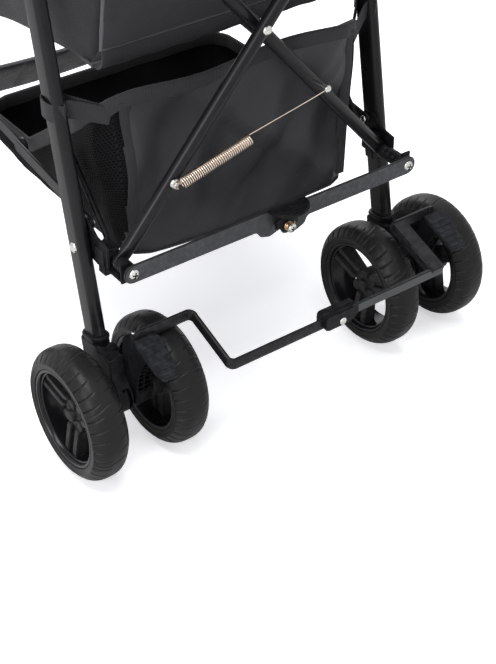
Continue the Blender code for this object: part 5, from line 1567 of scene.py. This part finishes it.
def canopy():
    """The canopy's cloth with its hem, tapes and cords, the front bow and the clips on the tubes."""
    across, along = 72, 54
    rows = []
    for j in range(along + 1):
        v = 2 * j / along - 1
        row = []
        for i in range(across + 1):
            u = 0.985 * (2 * i / across - 1)
            place = canopy_point(u, v)
            slack = abs(math.sin((v + 1) * 1.5 * math.pi)) * (1 - u * u)
            wave = 0.0030 * noise.noise(Vector((u * 3, v * 2, 1)))
            place.z += slack * (wave + 0.0012 * noise.noise(place * 60))
            row.append(place)
        rows.append(row)
    cloth = place_piece("canopy_cloth", [skin(rows, False)], "black_fabric", "canopy", sharp=180)
    thicken(cloth, 0.0016)
    trims = []
    for v in (-1.0, -1 / 3, 1 / 3, 1.0):
        path = [canopy_point(u, v, 0.0012) for u in np.linspace(-0.975, 0.975, 61)]
        if abs(v) == 1:
            hem = bar_profile(0.0050, 0.0120, 0.0020, 3)
            trims.append(sweep(path, hem, path[30] - Vector((0, -0.09, 0.80))))
        else:
            trims.append(ribbon(path, 0.0100, 0.0012, (0, math.cos(v), 0.3)))
    for side in (-1, 1):
        path = [canopy_point(side * 0.98, v, 0.001) for v in np.linspace(-1, 1, 21)]
        trims.append(sweep(path, round_profile(0.0022, 8), X))
    binding = place_piece("canopy_binding", trims, "webbing", body=BODY_OF["canopy"], sharp=60)
    path = [canopy_point(u, 1.0) + Vector((0, 0.0065, 0.0010)) for u in np.linspace(-1, 1, 61)]
    bow = place_piece("front_bow", [sweep(path, round_profile(0.0032, 12), Y)], "black_plastic", "canopy_bow")
    folds_flat(cloth, binding, bow)
    lean = math.tan(PUSH_TOP_LEAN)
    way = Vector((0, -lean, 1)).normalized()
    for label, side in SIDES:
        centre = Vector((side * SIDE_X, push_y(PUSH_BEND_Z) - lean * 0.0400, 0.8300))
        hull = bar_profile(0.0230, 0.0380, 0.0070, 7)
        grip = sleeve(centre - way * 0.013, centre + way * 0.013, hull, oval_ring(0.0008))
        low_x, high_x = sorted((side * 0.1870, side * 0.1985))
        arm = box((low_x, -0.0790, 0.8060), (high_x, -0.0450, 0.8210), 0.0030, None, 3)
        knob = rod((side * 0.1990, -0.0700, 0.8130), (side * 0.1850, -0.0700, 0.8130), 0.0090, edge=0.0016)
        rivet = dome((side * (SIDE_X + 0.0113), centre.y, centre.z), (side, 0, 0), 0.0045, 0.0020)
        moulded("canopy_clip_" + label, painted(0, grip, arm, knob) + [(rivet, 1)],
                body=BODY_OF["push_tube_" + label])


# Calf rest, side wings and their sleeves on the push tubes
def calf_rest():
    """A thin quilted band between the push tubes, with piping and a sleeve on each tube."""
    shape = bmesh.new()
    across, along = 60, 14
    for face in (1, -1):
        rows = []
        for j in range(along + 1):
            v = 2 * j / along - 1
            row = []
            for i in range(across + 1):
                u = 2 * i / across - 1
                full = (max(0, 1 - abs(v) ** 6) * max(0, 1 - abs(u) ** 30)) ** 0.5
                quilt = 1 - 0.45 * math.exp(-(math.sin(u * 3 * math.pi) / 0.16) ** 2)
                row.append(shape.verts.new(calf_point(u, v) + PUSH_OUT * face * 0.0050 * full * quilt))
            rows.append(row)
        join_rows(shape, rows, False)
    bmesh.ops.remove_doubles(shape, verts=shape.verts, dist=1e-5)
    bmesh.ops.recalc_face_normals(shape, faces=shape.faces)
    rest = place_piece("calf_pad", [shape], "black_fabric", "calf_rest", sharp=180)
    edges = [sweep([calf_point(u, v) for u in np.linspace(-1, 1, 41)], round_profile(0.0022, 8), PUSH_OUT)
             for v in (-1, 1)]
    piping = place_piece("calf_piping", edges, "webbing", body=BODY_OF["calf_rest"], paints=[PIPING])
    folds_flat(rest, piping)
    low, high = 0.2200, 0.2700
    for label, side in SIDES:
        x, tube = side * SIDE_X, "push_tube_" + label
        tunnel = sleeve((x, push_y(low), low), (x, push_y(high), high), oval_ring(0.0030), oval_ring(0.0004))
        made = place_piece("calf_sleeve_" + label, [tunnel], "black_fabric", body=BODY_OF[tube], sharp=60)


def calf_point(u, v):
    """A point of the calf rest's middle plane: u across it, v up it."""
    z = 0.2450 + 0.0300 * v
    sag = 0.0120 * (1 - u * u)
    return Vector((0.1900 * u, push_y(z) + 0.002 - sag, z - sag * 0.5))


def wing_point(side, s, t):
    """s runs from the seat's front edge to the shoulder, t from the pads' edge to the push tube."""
    at = s * (len(WING_LINE) - 1)
    k = min(int(at), len(WING_LINE) - 2)
    inner = WING_LINE[k].lerp(WING_LINE[k + 1], at - k)
    z = 0.3950 + 0.2600 * s
    point = inner.lerp(Vector((0.1980, push_y(z) - 0.004, z)), t)
    slack = math.sin(math.pi * t)
    point.x += 0.0050 * slack
    wave = 0.0032 * noise.noise(Vector((s * 5, t * 2, 4))) + 0.0022 * math.sin(s * 26 + t * 3)
    point += Vector((0.5, 0.3, -0.8)) * (0.0060 + wave) * slack
    point.x *= side
    return point


def wing_sleeve(label, side):
    """The sleeve of a wing round the push tube, a little wavy between its hems."""
    low, high, steps = 0.3960, 0.6300, 36
    rows = []
    for k in range(steps + 1):
        z = low + (high - low) * k / steps
        centre = Vector((side * SIDE_X, push_y(z), z))
        hem = 0.0008 if k in (1, 2, steps - 2, steps - 1) else 0
        wave = 0.0005 * math.sin(k * 1.7) + 0.0004 * math.sin(k * 0.9)
        rows.append([centre + X * a + PUSH_OUT * b for a, b in oval_ring(0.0034 + hem * 2 + wave * 2)])
    tube = "push_tube_" + label
    made = place_piece("wing_sleeve_" + label, [skin(rows)], "black_fabric", body=BODY_OF[tube], sharp=180)
    thicken(made, 0.0012)


def shoulder_strap(label, side):
    """A strap from the backrest's edge to the push tube, and its loop round the tube."""
    tube = "push_tube_" + label
    back = along_line(BACK_LINE, 0.80)[0]
    end = Vector((side * (SIDE_X - OVAL_W / 2), push_y(0.785) - 0.004, 0.785))
    start = Vector((side * 0.1380, back.y + 0.002, back.z))
    path = smooth_path([start, start.lerp(end, 0.5) + Vector((0, 0.002, -0.004)), end], 6)
    made = place_piece("shoulder_strap_" + label, [ribbon(path, 0.0240, 0.0015, (0, -0.5, 0.86))], "webbing",
                       body=BODY_OF["seat_cushion"])
    folds_flat(made)
    centre = Vector((side * SIDE_X, push_y(0.778), 0.778))
    loop = sleeve(centre - PUSH_UP * 0.011, centre + PUSH_UP * 0.008, oval_ring(0.0036), oval_ring(0.0004))
    made = place_piece("shoulder_loop_" + label, [loop], "webbing", body=BODY_OF[tube])


def wings():
    """The cloth sides between the pads and the push tubes."""
    for label, side in SIDES:
        rows = [[wing_point(side, s, t) for t in np.linspace(0, 1, 15)] for s in np.linspace(0, 1, 61)]
        cloth = place_piece("side_wing_" + label, [skin(rows, False)], "black_fabric",
                            body=BODY_OF["seat_cushion"], sharp=180)
        thicken(cloth, 0.0014)
        folds_flat(cloth)
        wing_sleeve(label, side)
        shoulder_strap(label, side)


def basket_straps():
    """The straps of the basket's front corners, loose from every body."""
    for label, side in SIDES:
        node, z = "push_tube_" + label, 0.3350
        corner = Vector((side * 0.1600, 0.3330, 0.2740))
        tube = Vector((side * (SIDE_X - OVAL_W / 2 - 0.001), push_y(z) - 0.006, z))
        path = [corner.lerp(tube, i / 14) for i in range(15)]
        strap = place_piece("basket_strap_" + label, [ribbon(path, 0.0180, 0.0015, Y)], "webbing",
                            body=BODY_OF[node])
        world = strap.matrix_world.copy()
        strap.parent = None
        strap.matrix_world = world
        del strap["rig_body"]
        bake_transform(strap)


def soft_goods():
    seat()
    basket()
    canopy()
    calf_rest()
    wings()
    basket_straps()


soft_goods()


# Camera, floor and light
def camera():
    data = bpy.data.cameras.new("camera")
    data.sensor_width, data.lens = 36.0, 78.61
    data.clip_start, data.clip_end = 0.05, 60
    made = add_object("camera", data)
    made.location = (-0.82559, -1.21198, 1.09661)
    made.rotation_euler = [math.radians(a) for a in (52.859, 0.0, -36.534)]
    bpy.context.scene.camera = made


def floor():
    shape = bmesh.new()
    bmesh.ops.create_grid(shape, x_segments=1, y_segments=1, size=9.0)
    mesh = to_mesh(shape, "floor")
    g = Graph("floor")
    seen = g.add("LightPath").outputs["Is Camera Ray"]
    cloud = g.spread(g.noise(3.0, 4.0), 0.3, 0.7, 0.0, 1.0)
    tint = g.blend(cloud, (0.950, 0.955, 0.965, 1), (0.965, 0.970, 0.975, 1))
    g.feed(g.blend(seen, (0.80, 0.80, 0.80, 1), tint), g.shader.inputs["Base Color"])
    g.feed(g.math("MULTIPLY", seen, 0.53), g.shader.inputs["Emission Strength"])
    g.shader.inputs["Emission Color"].default_value = (0.97, 0.97, 1.0, 1)
    g.shader.inputs["Roughness"].default_value = 0.9
    g.shader.inputs["Specular IOR Level"].default_value = 0.1
    mesh.materials.append(g.made)
    add_object("floor", mesh)


def softbox(name, place, target, size, power):
    data = bpy.data.lights.new(name, "AREA")
    data.shape, data.size, data.size_y = "RECTANGLE", *size
    data.energy = power
    made = add_object(name, data)
    made.location = place
    made.rotation_euler = (Vector(target) - Vector(place)).to_track_quat("-Z", "Y").to_euler()


def light():
    world = bpy.data.worlds.new("studio")
    bpy.context.scene.world = world
    world.use_nodes = True
    tree = world.node_tree
    sky = tree.nodes["Background"]
    path = tree.nodes.new("ShaderNodeLightPath")
    seen = path.outputs["Is Camera Ray"]
    for ray in ("Is Glossy Ray", "Is Transmission Ray"):
        either = tree.nodes.new("ShaderNodeMath")
        either.operation = "MAXIMUM"
        tree.links.new(seen, either.inputs[0])
        tree.links.new(path.outputs[ray], either.inputs[1])
        seen = either.outputs[0]
    strength = tree.nodes.new("ShaderNodeMapRange")
    strength.inputs["To Min"].default_value = 0.40
    strength.inputs["To Max"].default_value = 1.0
    tree.links.new(seen, strength.inputs["Value"])
    tree.links.new(strength.outputs[0], sky.inputs["Strength"])
    sky.inputs["Color"].default_value = (0.96, 0.98, 1.0, 1)
    softbox("overhead", (-0.5, -0.4, 4.0), (0, 0, 0), (2.6, 2.6), 150)
    softbox("left", (-3.2, -1.6, 2.2), (0, 0, 0.3), (1.4, 2.0), 62)
    softbox("front", (1.4, 3.4, 2.4), (0, 0, 0.4), (2.0, 1.6), 36)
    bpy.context.scene.view_settings.view_transform = "Standard"


camera()
floor()
light()
bpy.context.view_layer.update()
